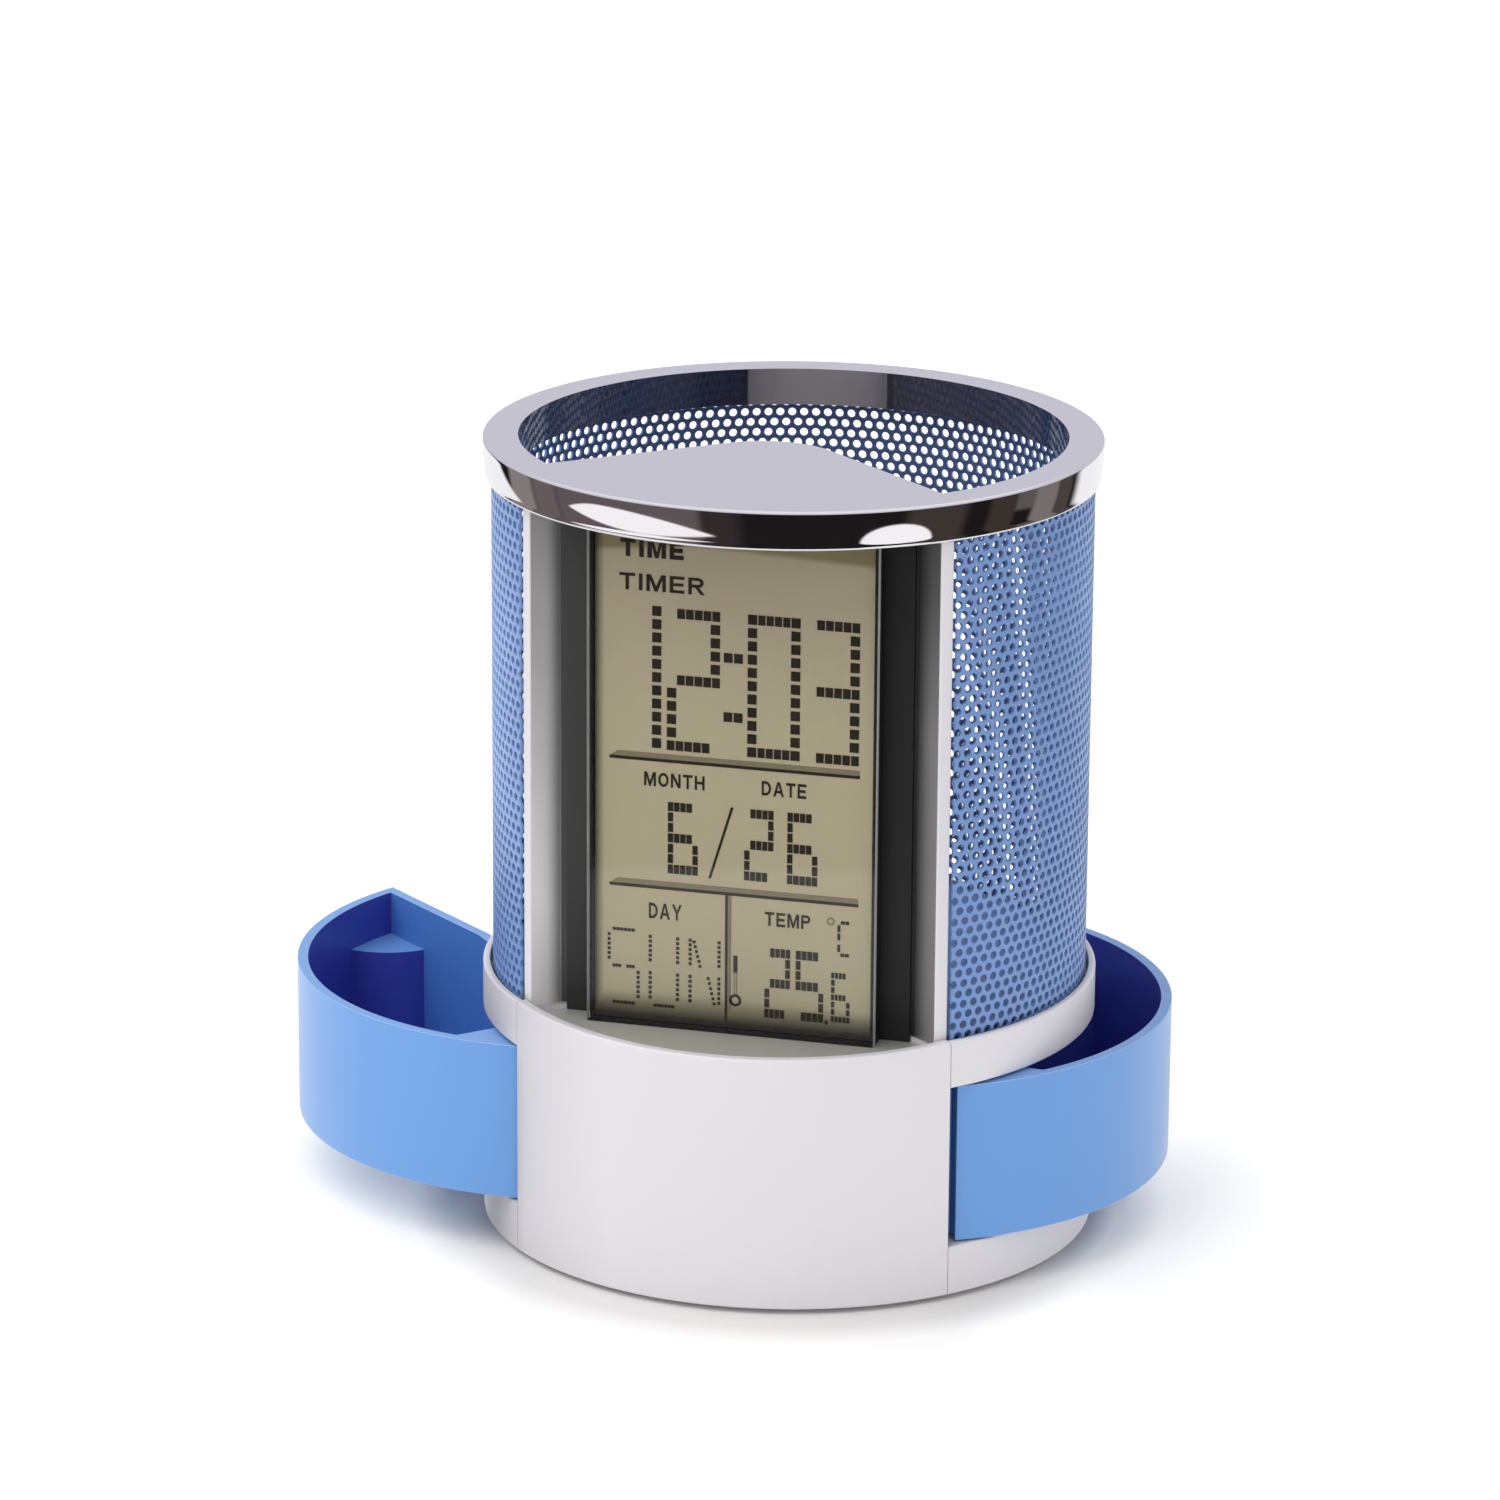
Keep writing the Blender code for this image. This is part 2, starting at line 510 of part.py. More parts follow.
def prism_y(outline, y0, y1, bm=None):
    """Prism along Y of an outline in the XZ plane."""
    bm = bm or bmesh.new()
    vs = [bm.verts.new((x, y0, z)) for x, z in outline]
    face = bm.faces.new(vs)
    ext = bmesh.ops.extrude_face_region(bm, geom=[face])
    up = [g for g in ext["geom"] if isinstance(g, bmesh.types.BMVert)]
    bmesh.ops.translate(bm, verts=up, vec=(0, y1 - y0, 0))
    return bm


bh = bmesh.new()
for x, z in BOARD_SCREWS:
    prism_y(circle(x, z, 1.1, 10), -25.3, -20.0, bh)
boolean(front, tool("frame_board_holes", bh))

# rear cover: V-shaped shell behind the board
s_front = meet((nose_side(10, 0.15), nose_side(40, 0.15)), ((0, -23.4), (1, -23.4)))
s_inner = meet((nose_side(10, 1.75), nose_side(40, 1.75)), ((0, -23.4), (1, -23.4)))
rear_out = [s_front] + nose_tip(0.15) + [(-s_front[0], s_front[1])]
rear = add("clock_rear_cover", prism(rear_out, 36.4, CASE_TOP), SILVER)
rear_in = [(s_inner[0], -30.0), s_inner] + nose_tip(1.75) + [(-s_inner[0], s_inner[1]), (-s_inner[0], -30.0)]
cavity = tool("rear_cavity", prism(rear_in, 38.0, CASE_TOP - 1.6))
hp = bmesh.new()
for x, y in HOUSING_SCREWS:
    rod(x, y, 2.5, 36.0, 46.0, 14, hp)
boolean(cavity, tool("rear_posts", hp))
boolean(rear, cavity)
rh = bmesh.new()
for x, y in HOUSING_SCREWS:
    rod(x, y, 1.35, 30.0, 44.6, 12, rh)
boolean(rear, tool("rear_screw_holes", rh))
boolean(rear, tool("rear_ribbon_slot", box(-5, 5, -20.6, -10.0, 30, 40)))
for nm, (x, y) in zip(("housing_screw_right", "housing_screw_left"), HOUSING_SCREWS):
    screw(nm, x, y, 31.4, 2.1, 1.7, 1.05, 44.2)

# ---------------------------------------------------------------- display stack, front to back
LZ0, LZ1 = 36.5, 108.6
add("display_lens", box(-19.6, 19.6, LCD_FRONT_Y, LCD_FRONT_Y + 1.0, LZ0, LZ1), CLEAR)
bez = add("lcd_bezel", box(-19.6, 19.6, -29.4, -26.2, LZ0, LZ1), DARK)
boolean(bez, tool("bezel_flange", box(-BEZEL_FLANGE_X, BEZEL_FLANGE_X, -27.0, -26.2, LZ0, LZ1)), 'UNION')
boolean(bez, tool("bezel_window", box(-18.6, 18.6, -32.0, -25.0, LZ0 + 0.9, LZ1 - 0.9)))
add("lcd_glass", box(-18.3, 18.3, -29.1, -27.3, 37.7, 107.4), LCD)
add("lcd_reflector", box(-18.0, 18.0, -27.0, -26.7, 45.3, 99.5), FOIL)
add("zebra_strip_lower", box(-16.3, 16.3, -27.0, -22.7, 42.6, 44.8), GREY_RUBBER)
add("zebra_strip_upper", box(-16.3, 16.3, -27.0, -22.7, 100.0, 102.2), GREY_RUBBER)
board = add("main_board", box(-17.3, 17.3, -22.4, -21.2, 38.4, 107.4), PCB)
pb = bmesh.new()
for x, z in BOARD_SCREWS:
    prism_y(circle(x, z, 1.1, 10), -24.0, -20.0, pb)
boolean(board, tool("board_holes", pb))


def turned_y(name, profile, cx, cz, seg, mat):
    """(r, y) profile turned about an axis along Y through (cx, cz)."""
    bm = turned([(r, y) for r, y in profile], 0, 0, seg)
    for v in bm.verts:
        v.co = Vector((cx + v.co.x, v.co.z, cz + v.co.y))
    return add(name, bm, mat)


for k, (x, z) in enumerate(BOARD_SCREWS):
    nm = "board_screw_" + ("upper_left", "upper_right", "lower_left", "lower_right")[k]
    turned_y(nm, [(0, -25.0), (0.8, -24.6), (0.8, -20.9), (1.6, -20.9), (1.6, -20.4), (1.2, -20.0), (0, -20.0)],
             x, z, 10, STEEL)
turned_y("driver_chip", [(0, -20.9), (4.5, -20.9), (4.3, -20.4), (3.2, -19.9), (0, -19.7)], 0, 72.0, 16, DARK)
turned_y("buzzer", [(0, -20.9), (6.5, -20.9), (6.5, -18.9), (6.2, -18.6), (0, -18.6)], 0, 92.0, 20, DARK)
turned_y("temperature_sensor", [(0, -20.9), (0.9, -20.9), (1.3, -20.3), (1.3, -19.8), (0.8, -19.2), (0, -19.1)],
         -9.0, 52.0, 10, DARK)
add("timing_crystal", turned([(0, 58.0), (1.3, 58.0), (1.5, 58.2), (1.5, 63.8), (1.3, 64.0), (0, 64.0)], 9.0, -19.3,
                             12), STEEL)
# flat cable from the clock board down through the deck and column to the button board
RIB = [(-20.75, 50.0), (-20.75, 44.0), (-17.5, 38.5), (-16.5, 30.0), (-8.0, 20.0), (8.4, 13.0), (10.4, 8.8), (10.6, 5.7),
       (13.2, 5.2)]


def strip_outline(path, t):
    left, right = [], []
    for i, p in enumerate(path):
        a = path[max(i - 1, 0)]
        b = path[min(i + 1, len(path) - 1)]
        dx, dz = b[0] - a[0], b[1] - a[1]
        l = hypot(dx, dz)
        nx, nz = -dz / l * t / 2, dx / l * t / 2
        left.append((p[0] + nx, p[1] + nz))
        right.append((p[0] - nx, p[1] - nz))
    return left + right[::-1]


add("ribbon_cable", prism_x(strip_outline(RIB, 0.35), -3.2, 0.2), RIBBON)
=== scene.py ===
import bpy
import bmesh
from math import sin, cos, tan, asin, atan2, sqrt, hypot, pi, radians, degrees
from mathutils import Matrix, Vector


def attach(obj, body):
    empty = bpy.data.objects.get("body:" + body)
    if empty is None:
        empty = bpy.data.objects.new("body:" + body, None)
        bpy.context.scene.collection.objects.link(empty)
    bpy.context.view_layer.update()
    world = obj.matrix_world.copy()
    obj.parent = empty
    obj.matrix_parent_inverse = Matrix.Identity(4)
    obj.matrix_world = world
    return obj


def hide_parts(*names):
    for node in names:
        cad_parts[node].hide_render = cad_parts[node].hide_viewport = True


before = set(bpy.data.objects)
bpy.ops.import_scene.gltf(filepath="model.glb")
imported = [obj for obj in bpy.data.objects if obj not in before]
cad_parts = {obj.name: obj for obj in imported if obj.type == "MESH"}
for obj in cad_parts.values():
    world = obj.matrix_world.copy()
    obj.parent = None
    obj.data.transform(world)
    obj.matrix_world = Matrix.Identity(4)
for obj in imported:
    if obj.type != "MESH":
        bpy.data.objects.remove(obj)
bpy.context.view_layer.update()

scene = bpy.context.scene
scene.view_settings.view_transform = 'Standard'
scene.view_settings.look = 'None'

# ================================================================ camera
R = 42.5                                   # base radius in mm; lengths below are in mm until they enter a mesh


def photo_camera():
    a, e, dist = radians(15.07), radians(17.405), 21.8266
    pan, tilt, roll = radians(-0.35), radians(0.624), radians(0.492)
    place = Vector((sin(a) * cos(e), -cos(a) * cos(e), sin(e))) * dist + Vector((0, 0, 1.3))
    place = place * R + Vector((0, 0, 0.7))
    fwd = -Vector((sin(a) * cos(e), -cos(a) * cos(e), sin(e)))
    right = Vector((cos(a), sin(a), 0.0))
    up = right.cross(fwd)
    fwd2 = fwd * cos(pan) + right * sin(pan)
    right2 = right * cos(pan) - fwd * sin(pan)
    fwd3 = fwd2 * cos(tilt) + up * sin(tilt)
    up3 = up * cos(tilt) - fwd2 * sin(tilt)
    r = right2 * cos(roll) + up3 * sin(roll)
    u = up3 * cos(roll) - right2 * sin(roll)
    data = bpy.data.cameras.new("camera")
    data.sensor_fit = 'HORIZONTAL'
    data.sensor_width = 36.0
    data.lens = 6714.9 / 1500.0 * 36.0
    data.clip_start = 0.02
    data.clip_end = 50.0
    ob = bpy.data.objects.new("camera", data)
    m = Matrix.Identity(4)
    for i in range(3):
        m[i][0], m[i][1], m[i][2], m[i][3] = r[i], u[i], -fwd3[i], place[i] * 0.001
    ob.matrix_world = m
    scene.collection.objects.link(ob)
    scene.camera = ob


photo_camera()


# ================================================================ materials
class Nodes:
    """Small helper to wire a node tree."""

    def __init__(self, tree):
        self.t = tree

    def new(self, kind, **props):
        n = self.t.nodes.new(kind)
        for k, v in props.items():
            setattr(n, k, v)
        return n

    def link(self, a, b):
        self.t.links.new(a, b)

    def math(self, op, a, b=None, c=None, clamp=False):
        n = self.new("ShaderNodeMath", operation=op, use_clamp=clamp)
        for i, v in enumerate((a, b, c)):
            if v is None:
                continue
            if isinstance(v, (int, float)):
                n.inputs[i].default_value = v
            else:
                self.link(v, n.inputs[i])
        return n.outputs[0]

    def ramp(self, value, lo, hi, out_lo=0.0, out_hi=1.0, smooth=False):
        n = self.new("ShaderNodeMapRange")
        n.interpolation_type = 'SMOOTHSTEP' if smooth else 'LINEAR'
        n.clamp = True
        for k, v in (("From Min", lo), ("From Max", hi), ("To Min", out_lo), ("To Max", out_hi)):
            n.inputs[k].default_value = v
        self.link(value, n.inputs["Value"])
        return n.outputs["Result"]

    def mix(self, fac, a, b):
        n = self.new("ShaderNodeMix", data_type='RGBA')
        for sock, v in ((n.inputs[0], fac), (n.inputs[6], a), (n.inputs[7], b)):
            if isinstance(v, (int, float)):
                sock.default_value = v
            elif isinstance(v, tuple):
                sock.default_value = (*v, 1.0)
            else:
                self.link(v, sock)
        return n.outputs[2]


def srgb(r, g, b):
    def lin(c):
        c /= 255.0
        return c / 12.92 if c <= 0.04045 else ((c + 0.055) / 1.055) ** 2.4
    return (lin(r), lin(g), lin(b))


def scaled(rgb, k):
    return tuple(min(1.0, c * k) for c in rgb)


def plastic(name, rgb, rough, metal=0.0, tone=0.04, tone_scale=30.0, rough_var=0.05, grain=0.02, grain_scale=1500.0,
            wave=0.0, wave_scale=60.0, spec=0.5, coat=0.0, coat_rough=0.1, fleck=0.0, fleck_scale=4000.0, sheen=0.0):
    """Moulded, sprayed or plated surface: slow tone drift, roughness drift, fine grain and a slow surface wave."""
    m = bpy.data.materials.new(name)
    m.use_nodes = True
    n = Nodes(m.node_tree)
    b = m.node_tree.nodes["Principled BSDF"]
    place = n.new("ShaderNodeTexCoord").outputs["Object"]
    drift = n.new("ShaderNodeTexNoise")
    drift.inputs["Scale"].default_value = tone_scale
    drift.inputs["Detail"].default_value = 3.0
    n.link(place, drift.inputs["Vector"])
    fac = n.ramp(drift.outputs["Fac"], 0.3, 0.7)
    colour = n.mix(fac, scaled(rgb, 1.0 - tone), scaled(rgb, 1.0 + tone))
    if fleck:
        f = n.new("ShaderNodeTexNoise")
        f.inputs["Scale"].default_value = fleck_scale
        f.inputs["Detail"].default_value = 1.0
        n.link(place, f.inputs["Vector"])
        colour = n.mix(n.ramp(f.outputs["Fac"], 0.35, 0.75, 0.0, fleck), colour, scaled(rgb, 1.35))
    n.link(colour, b.inputs["Base Color"])
    rn = n.new("ShaderNodeTexNoise")
    rn.inputs["Scale"].default_value = tone_scale * 2.3
    rn.inputs["Detail"].default_value = 4.0
    n.link(place, rn.inputs["Vector"])
    n.link(n.ramp(rn.outputs["Fac"], 0.3, 0.7, max(0.0, rough - rough_var), min(1.0, rough + rough_var)),
           b.inputs["Roughness"])
    b.inputs["Metallic"].default_value = metal
    b.inputs["Specular IOR Level"].default_value = spec
    if sheen:
        b.inputs["Sheen Weight"].default_value = sheen
        b.inputs["Sheen Roughness"].default_value = 0.45
    if coat:
        b.inputs["Coat Weight"].default_value = coat
        b.inputs["Coat Roughness"].default_value = coat_rough
    last = None
    for strength, scale, detail in ((wave, wave_scale, 1.0), (grain, grain_scale, 2.0)):
        if not strength:
            continue
        t = n.new("ShaderNodeTexNoise")
        t.inputs["Scale"].default_value = scale
        t.inputs["Detail"].default_value = detail
        n.link(place, t.inputs["Vector"])
        bump = n.new("ShaderNodeBump")
        bump.inputs["Strength"].default_value = strength
        bump.inputs["Distance"].default_value = 0.0002
        n.link(t.outputs["Fac"], bump.inputs["Height"])
        if last is not None:
            n.link(last, bump.inputs["Normal"])
        last = bump.outputs["Normal"]
    if last is not None:
        n.link(last, b.inputs["Normal"])
    return m


SILVER = plastic("satin_silver", (0.672, 0.657, 0.692), 0.42, 0.12, 0.012, 22.0, 0.04, 0.05, 5000.0, 0.02, 90.0,
                 fleck=0.10, fleck_scale=9000.0)
# silver of the ledge, with a khaki tint that is a painted reflection of the display
LEDGE = plastic("silver_ledge", (0.46, 0.465, 0.415), 0.32, 0.35, 0.02, 22.0, 0.03, 0.03, 4000.0, 0.02, 60.0)
BLUE = plastic("cornflower_gloss", (0.117, 0.298, 0.655), 0.32, 0.0, 0.02, 18.0, 0.035, 0.05, 3500.0, 0.03, 70.0, sheen=0.23)
# painted shade: a darker blue for the inside of the drawers and the hinge gap
BLUE_PAINTED_SHADE = plastic("cornflower_painted_shade", (0.072, 0.205, 0.570), 0.36, 0.0, 0.02, 18.0, 0.03, 0.03, 3500.0, 0.0)
# painted shade: a still darker blue for the curved inner wall and the front of the step
BLUE_PAINTED_DEEP_SHADE = plastic("cornflower_painted_deep_shade", (0.052, 0.066, 0.400), 0.36, 0.0, 0.02, 18.0, 0.03, 0.03, 3500.0, 0.0)
# painted highlight: a paler blue for the rounded top and bottom edges of the drawers
BLUE_PAINTED_HIGHLIGHT = plastic("cornflower_painted_highlight", (0.300, 0.500, 0.870), 0.24, 0.0, 0.02, 18.0, 0.03, 0.03, 3500.0, 0.0)
# painted shade: the inner face of the perforated wall is a darker, greyer blue
MESH_PAINTED_SHADE = plastic("blue_powder_coat_painted_shade", (0.070, 0.110, 0.245), 0.40, 0.22, 0.04, 60.0, 0.06, 0.25, 5200.0, 0.0)
CHROME = plastic("bright_chrome", (0.86, 0.855, 0.87), 0.035, 1.0, 0.008, 18.0, 0.015, 0.0, 1500.0, 0.012, 35.0)
RECESS_BACK = plastic("recess_back", (0.060, 0.058, 0.058), 0.40, 0.0, 0.08, 40.0, 0.05, 0.05, 3000.0, 0.0, spec=0.3)
# painted shade: a darker chrome for the wall of the ring's opening
CHROME_PAINTED_SHADE = plastic("chrome_painted_shade", (0.42, 0.39, 0.385), 0.05, 1.0, 0.01, 18.0, 0.015, 0.0, 1500.0, 0.012, 35.0)
BLACK = plastic("black_abs", (0.018, 0.018, 0.019), 0.42, 0.0, 0.10, 40.0, 0.08, 0.10, 3000.0, 0.0)
BACKING = plastic("black_backing", (0.012, 0.012, 0.012), 0.40, 0.0, 0.08, 40.0, 0.05, 0.05, 3000.0, 0.0, spec=0.3)
RUBBER = plastic("black_rubber", (0.030, 0.030, 0.030), 0.85, 0.0, 0.15, 90.0, 0.06, 0.35, 2500.0, 0.0)
SILICONE = plastic("grey_silicone", (0.34, 0.34, 0.35), 0.72, 0.0, 0.06, 90.0, 0.06, 0.15, 2500.0, 0.0)
FOIL = plastic("reflector_foil", (0.72, 0.72, 0.66), 0.30, 0.9, 0.05, 120.0, 0.08, 0.30, 900.0, 0.0)
BOARD = plastic("green_solder_mask", (0.020, 0.150, 0.055), 0.42, 0.0, 0.18, 260.0, 0.10, 0.25, 1800.0, 0.0)
STEEL = plastic("zinc_plated_steel", (0.60, 0.60, 0.59), 0.28, 1.0, 0.08, 160.0, 0.08, 0.25, 1800.0, 0.0)
BRASS = plastic("nickel_spring_brass", (0.72, 0.66, 0.50), 0.30, 1.0, 0.06, 160.0, 0.08, 0.18, 1600.0, 0.0)
RIBBON = plastic("ribbon_cable", (0.45, 0.45, 0.47), 0.55, 0.0, 0.08, 900.0, 0.05, 0.20, 1600.0, 0.0)
LCD_INK = plastic("lcd_segment", srgb(38, 31, 23), 0.40, 0.0, 0.10, 300.0, 0.04, 0.03, 6000.0, 0.0, spec=0.25)
# pale LCD tone: painted shadow of the rules and the divider, and the faint print of the degree mark and the thermometer
# tube
LCD_PALE_PRINT_AND_PAINTED_SHADE = plastic("lcd_pale_print_and_painted_shade", (0.185, 0.158, 0.100), 0.40, 0.0, 0.05, 300.0, 0.04, 0.03, 6000.0, 0.0, spec=0.25)
LENS_EDGE = plastic("frosted_acrylic_edge", (0.40, 0.40, 0.40), 0.45, 0.0, 0.08, 120.0, 0.08, 0.20, 2500.0, 0.0)


def base_colour_of(m):
    """Socket that feeds the base colour, and the place where another mix can be put in front of it."""
    b = m.node_tree.nodes["Principled BSDF"]
    return b.inputs["Base Color"].links[0].from_socket, b.inputs["Base Color"]


def xyz(n):
    sep = n.new("ShaderNodeSeparateXYZ")
    n.link(n.new("ShaderNodeTexCoord").outputs["Object"], sep.inputs[0])
    return sep.outputs


def blend(n, k, a, b):
    """a where k is 0, b where k is 1, for plain numbers."""
    return n.math('ADD', n.math('MULTIPLY', n.math('SUBTRACT', 1.0, k), a), n.math('MULTIPLY', k, b))


def recess_silver():
    """Silver of the recess walls with painted shade: darker towards the black back of the recess, darker higher up, and
    darker on the right wall than on the left.
    """
    m = plastic("silver_recess_painted_shade", (0.858, 0.848, 0.852), 0.32, 0.60, 0.02, 22.0, 0.04, 0.04, 5000.0, 0.0)
    n = Nodes(m.node_tree)
    src, dst = base_colour_of(m)
    x, y, z = xyz(n)
    # painted shade: the silver darkens higher up each wall and towards the back of the recess, more on the right wall
    right = n.ramp(x, -0.001, 0.001)
    tone = blend(n, right, n.ramp(z, 0.050, 0.105, 1.0, 0.554), n.ramp(z, 0.078, 0.099, 0.520, 0.240))
    fade = blend(n, right, n.ramp(y, -0.0276, -0.0252, smooth=True), n.ramp(y, -0.0284, -0.0254, smooth=True))
    n.link(n.mix(fade, n.mix(tone, (0.0, 0.0, 0.0), src), (0.070, 0.068, 0.068)), dst)
    return m


def base_silver():
    """The silver of the base with painted shade: darker towards its front left end, and a painted shadow of the left
    drawer low down under it.
    """
    m = plastic("satin_silver_base_painted_shade", (0.672, 0.657, 0.692), 0.42, 0.12, 0.012, 22.0, 0.04, 0.05, 5000.0, 0.02, 90.0,
                fleck=0.10, fleck_scale=9000.0)
    n = Nodes(m.node_tree)
    src, dst = base_colour_of(m)
    x, y, z = xyz(n)
    # painted shadow of the left drawer on the tray below the band, and painted shade towards the front left end
    under = n.math('MULTIPLY', n.ramp(x, -0.0285, -0.0350, 0.0, 0.32), n.ramp(z, 0.031, 0.026))
    left_painted_shade = n.math('ADD', n.ramp(x, -0.014, -0.030, 0.0, 0.20), under)
    n.link(n.mix(n.math('MULTIPLY', left_painted_shade, n.ramp(y, -0.012, -0.022)), src, (0.004, 0.004, 0.005)), dst)
    return m


def mesh_blue():
    """Powder coat of the perforated wall with a painted sheen: paler and whiter at the front left, strongest at mid
    height.
    """
    m = plastic("blue_powder_coat", (0.180, 0.302, 0.590), 0.36, 0.22, 0.04, 60.0, 0.06, 0.25, 5200.0, 0.0)
    n = Nodes(m.node_tree)
    src, dst = base_colour_of(m)
    x, y, z = xyz(n)
    # painted sheen: a paler, whiter blue where the wall faces away at the left
    turn = n.math('MULTIPLY', n.ramp(x, -0.026, -0.034, 0.0, 0.42), n.ramp(y, 0.012, -0.008))
    high = n.math('MULTIPLY', n.ramp(z, 0.050, 0.063), n.ramp(z, 0.103, 0.085, 0.55, 1.0))
    n.link(n.mix(n.math('MULTIPLY', turn, high), src, (0.405, 0.572, 0.940)), dst)
    return m


def lcd_glass():
    """Khaki display with painted shade: darker towards the top, a painted shadow of the ring along its top, and darker
    along the bottom and the left edge.
    """
    m = plastic("lcd_khaki_painted_shade", (0.395, 0.340, 0.225), 0.32, 0.0, 0.025, 45.0, 0.03, 0.04, 6000.0, 0.0, spec=0.35)
    n = Nodes(m.node_tree)
    src, dst = base_colour_of(m)
    sep = n.new("ShaderNodeSeparateXYZ")
    n.link(n.new("ShaderNodeTexCoord").outputs["Object"], sep.inputs[0])
    x, z = sep.outputs[0], sep.outputs[2]
    # painted shade: the khaki darkens towards the top
    drift = n.mix(n.ramp(z, 0.098, 0.075, smooth=True), (0.335, 0.280, 0.205), (0.400, 0.360, 0.236))
    # painted shadow of the ring's lip across the top, lower towards both sides
    ring_shadow_slope = n.math('ADD', n.ramp(x, -0.005, 0.020, 0.0, 0.00112), n.ramp(x, -0.005, -0.020, 0.0, 0.0014))
    top = n.ramp(n.math('ADD', z, ring_shadow_slope), 0.1021, 0.1032, 0.0, 1.0, smooth=True)
    colour = n.mix(0.55, src, drift)
    colour = n.mix(top, colour, (0.205, 0.161, 0.083))
    # painted shade along the bottom and the left edge
    edge = n.ramp(z, 0.0398, 0.0364, 0.0, 1.0)
    edge = n.math('MAXIMUM', edge, n.ramp(x, -0.0181, -0.0194, 0.0, 0.92))
    n.link(n.mix(edge, colour, (0.020, 0.014, 0.009)), dst)
    return m


def bezel_black():
    """Black moulding with a painted reflection on its left wing, paler higher up."""
    m = plastic("black_bezel_painted_reflection", (0.012, 0.012, 0.012), 0.40, 0.0, 0.08, 40.0, 0.05, 0.05, 3000.0, 0.0, spec=0.3)
    n = Nodes(m.node_tree)
    src, dst = base_colour_of(m)
    sep = n.new("ShaderNodeSeparateXYZ")
    n.link(n.new("ShaderNodeTexCoord").outputs["Object"], sep.inputs[0])
    # painted reflection of the room on the left part of the flange
    wing = n.mix(n.ramp(sep.outputs[2], 0.040, 0.064, smooth=True), (0.024, 0.023, 0.023), (0.040, 0.039, 0.038))
    n.link(n.mix(n.ramp(sep.outputs[0], -0.0198, -0.0204), src, wing), dst)
    return m


SILVER_RECESS_PAINTED_SHADE = recess_silver()
SILVER_BASE_PAINTED_SHADE = base_silver()
MESH_BLUE_PAINTED_SHEEN = mesh_blue()
LCD_FACE_PAINTED_SHADE = lcd_glass()
BEZEL_PAINTED_REFLECTION = bezel_black()


def clear_acrylic():
    m = bpy.data.materials.new("clear_acrylic")
    m.use_nodes = True
    n = Nodes(m.node_tree)
    nt = m.node_tree
    nt.nodes.remove(nt.nodes["Principled BSDF"])
    out = [x for x in nt.nodes if x.type == 'OUTPUT_MATERIAL'][0]
    see = n.new("ShaderNodeBsdfTransparent")
    see.inputs["Color"].default_value = (0.97, 0.975, 0.97, 1.0)
    gloss = n.new("ShaderNodeBsdfGlossy")
    gloss.inputs["Color"].default_value = (0.9, 0.9, 0.9, 1.0)
    place = n.new("ShaderNodeTexCoord").outputs["Object"]
    t = n.new("ShaderNodeTexNoise")
    t.inputs["Scale"].default_value = 120.0
    t.inputs["Detail"].default_value = 4.0
    n.link(place, t.inputs["Vector"])
    n.link(n.ramp(t.outputs["Fac"], 0.3, 0.7, 0.015, 0.05), gloss.inputs["Roughness"])
    # the same gloss on both faces of the sheet, so that it stays clear from every side
    facing = n.new("ShaderNodeLayerWeight")
    facing.inputs["Blend"].default_value = 0.5
    edge = n.math('POWER', facing.outputs["Facing"], 5.0)
    mix = n.new("ShaderNodeMixShader")
    n.link(n.math('ADD', 0.018, n.math('MULTIPLY', edge, 0.9), clamp=True), mix.inputs[0])
    n.link(see.outputs[0], mix.inputs[1])
    n.link(gloss.outputs[0], mix.inputs[2])
    n.link(mix.outputs[0], out.inputs["Surface"])
    return m


CLEAR = clear_acrylic()


# ================================================================ plan geometry (mm)
def polar(r, a):
    """Point at radius r, a degrees from the front (-Y) towards +X."""
    return (r * sin(radians(a)), -r * cos(radians(a)))


def arc(r, a0, a1, n):
    return [polar(r, a0 + (a1 - a0) * k / n) for k in range(n + 1)]


def circle(cx, cy, r, n=48):
    return [(cx + r * cos(2 * pi * k / n), cy + r * sin(2 * pi * k / n)) for k in range(n)]


def shift_line(p, q, d):
    ux, uy = q[0] - p[0], q[1] - p[1]
    l = hypot(ux, uy)
    nx, ny = -uy / l, ux / l
    return (p[0] + nx * d, p[1] + ny * d), (q[0] + nx * d, q[1] + ny * d)


def meet(a, b):
    (x1, y1), (x2, y2) = a
    (x3, y3), (x4, y4) = b
    den = (x1 - x2) * (y3 - y4) - (y1 - y2) * (x3 - x4)
    t = ((x1 - x3) * (y3 - y4) - (y1 - y3) * (x3 - x4)) / den
    return (x1 + t * (x2 - x1), y1 + t * (y2 - y1))


def line_circle(a, r, near):
    (x1, y1), (x2, y2) = a
    dx, dy = x2 - x1, y2 - y1
    A, B, C = dx * dx + dy * dy, 2 * (x1 * dx + y1 * dy), x1 * x1 + y1 * y1 - r * r
    s = sqrt(B * B - 4 * A * C)
    pts = [(x1 + t * dx, y1 + t * dy) for t in ((-B - s) / (2 * A), (-B + s) / (2 * A))]
    return min(pts, key=lambda p: hypot(p[0] - near[0], p[1] - near[1]))


def x_at(line, y):
    (x1, y1), (x2, y2) = line
    return x1 + (y - y1) * (x2 - x1) / (y2 - y1)


def angle_of(p):
    return degrees(atan2(p[0], -p[1]))


def mirror_x(pts):
    return [(-x, y) for x, y in reversed(pts)]


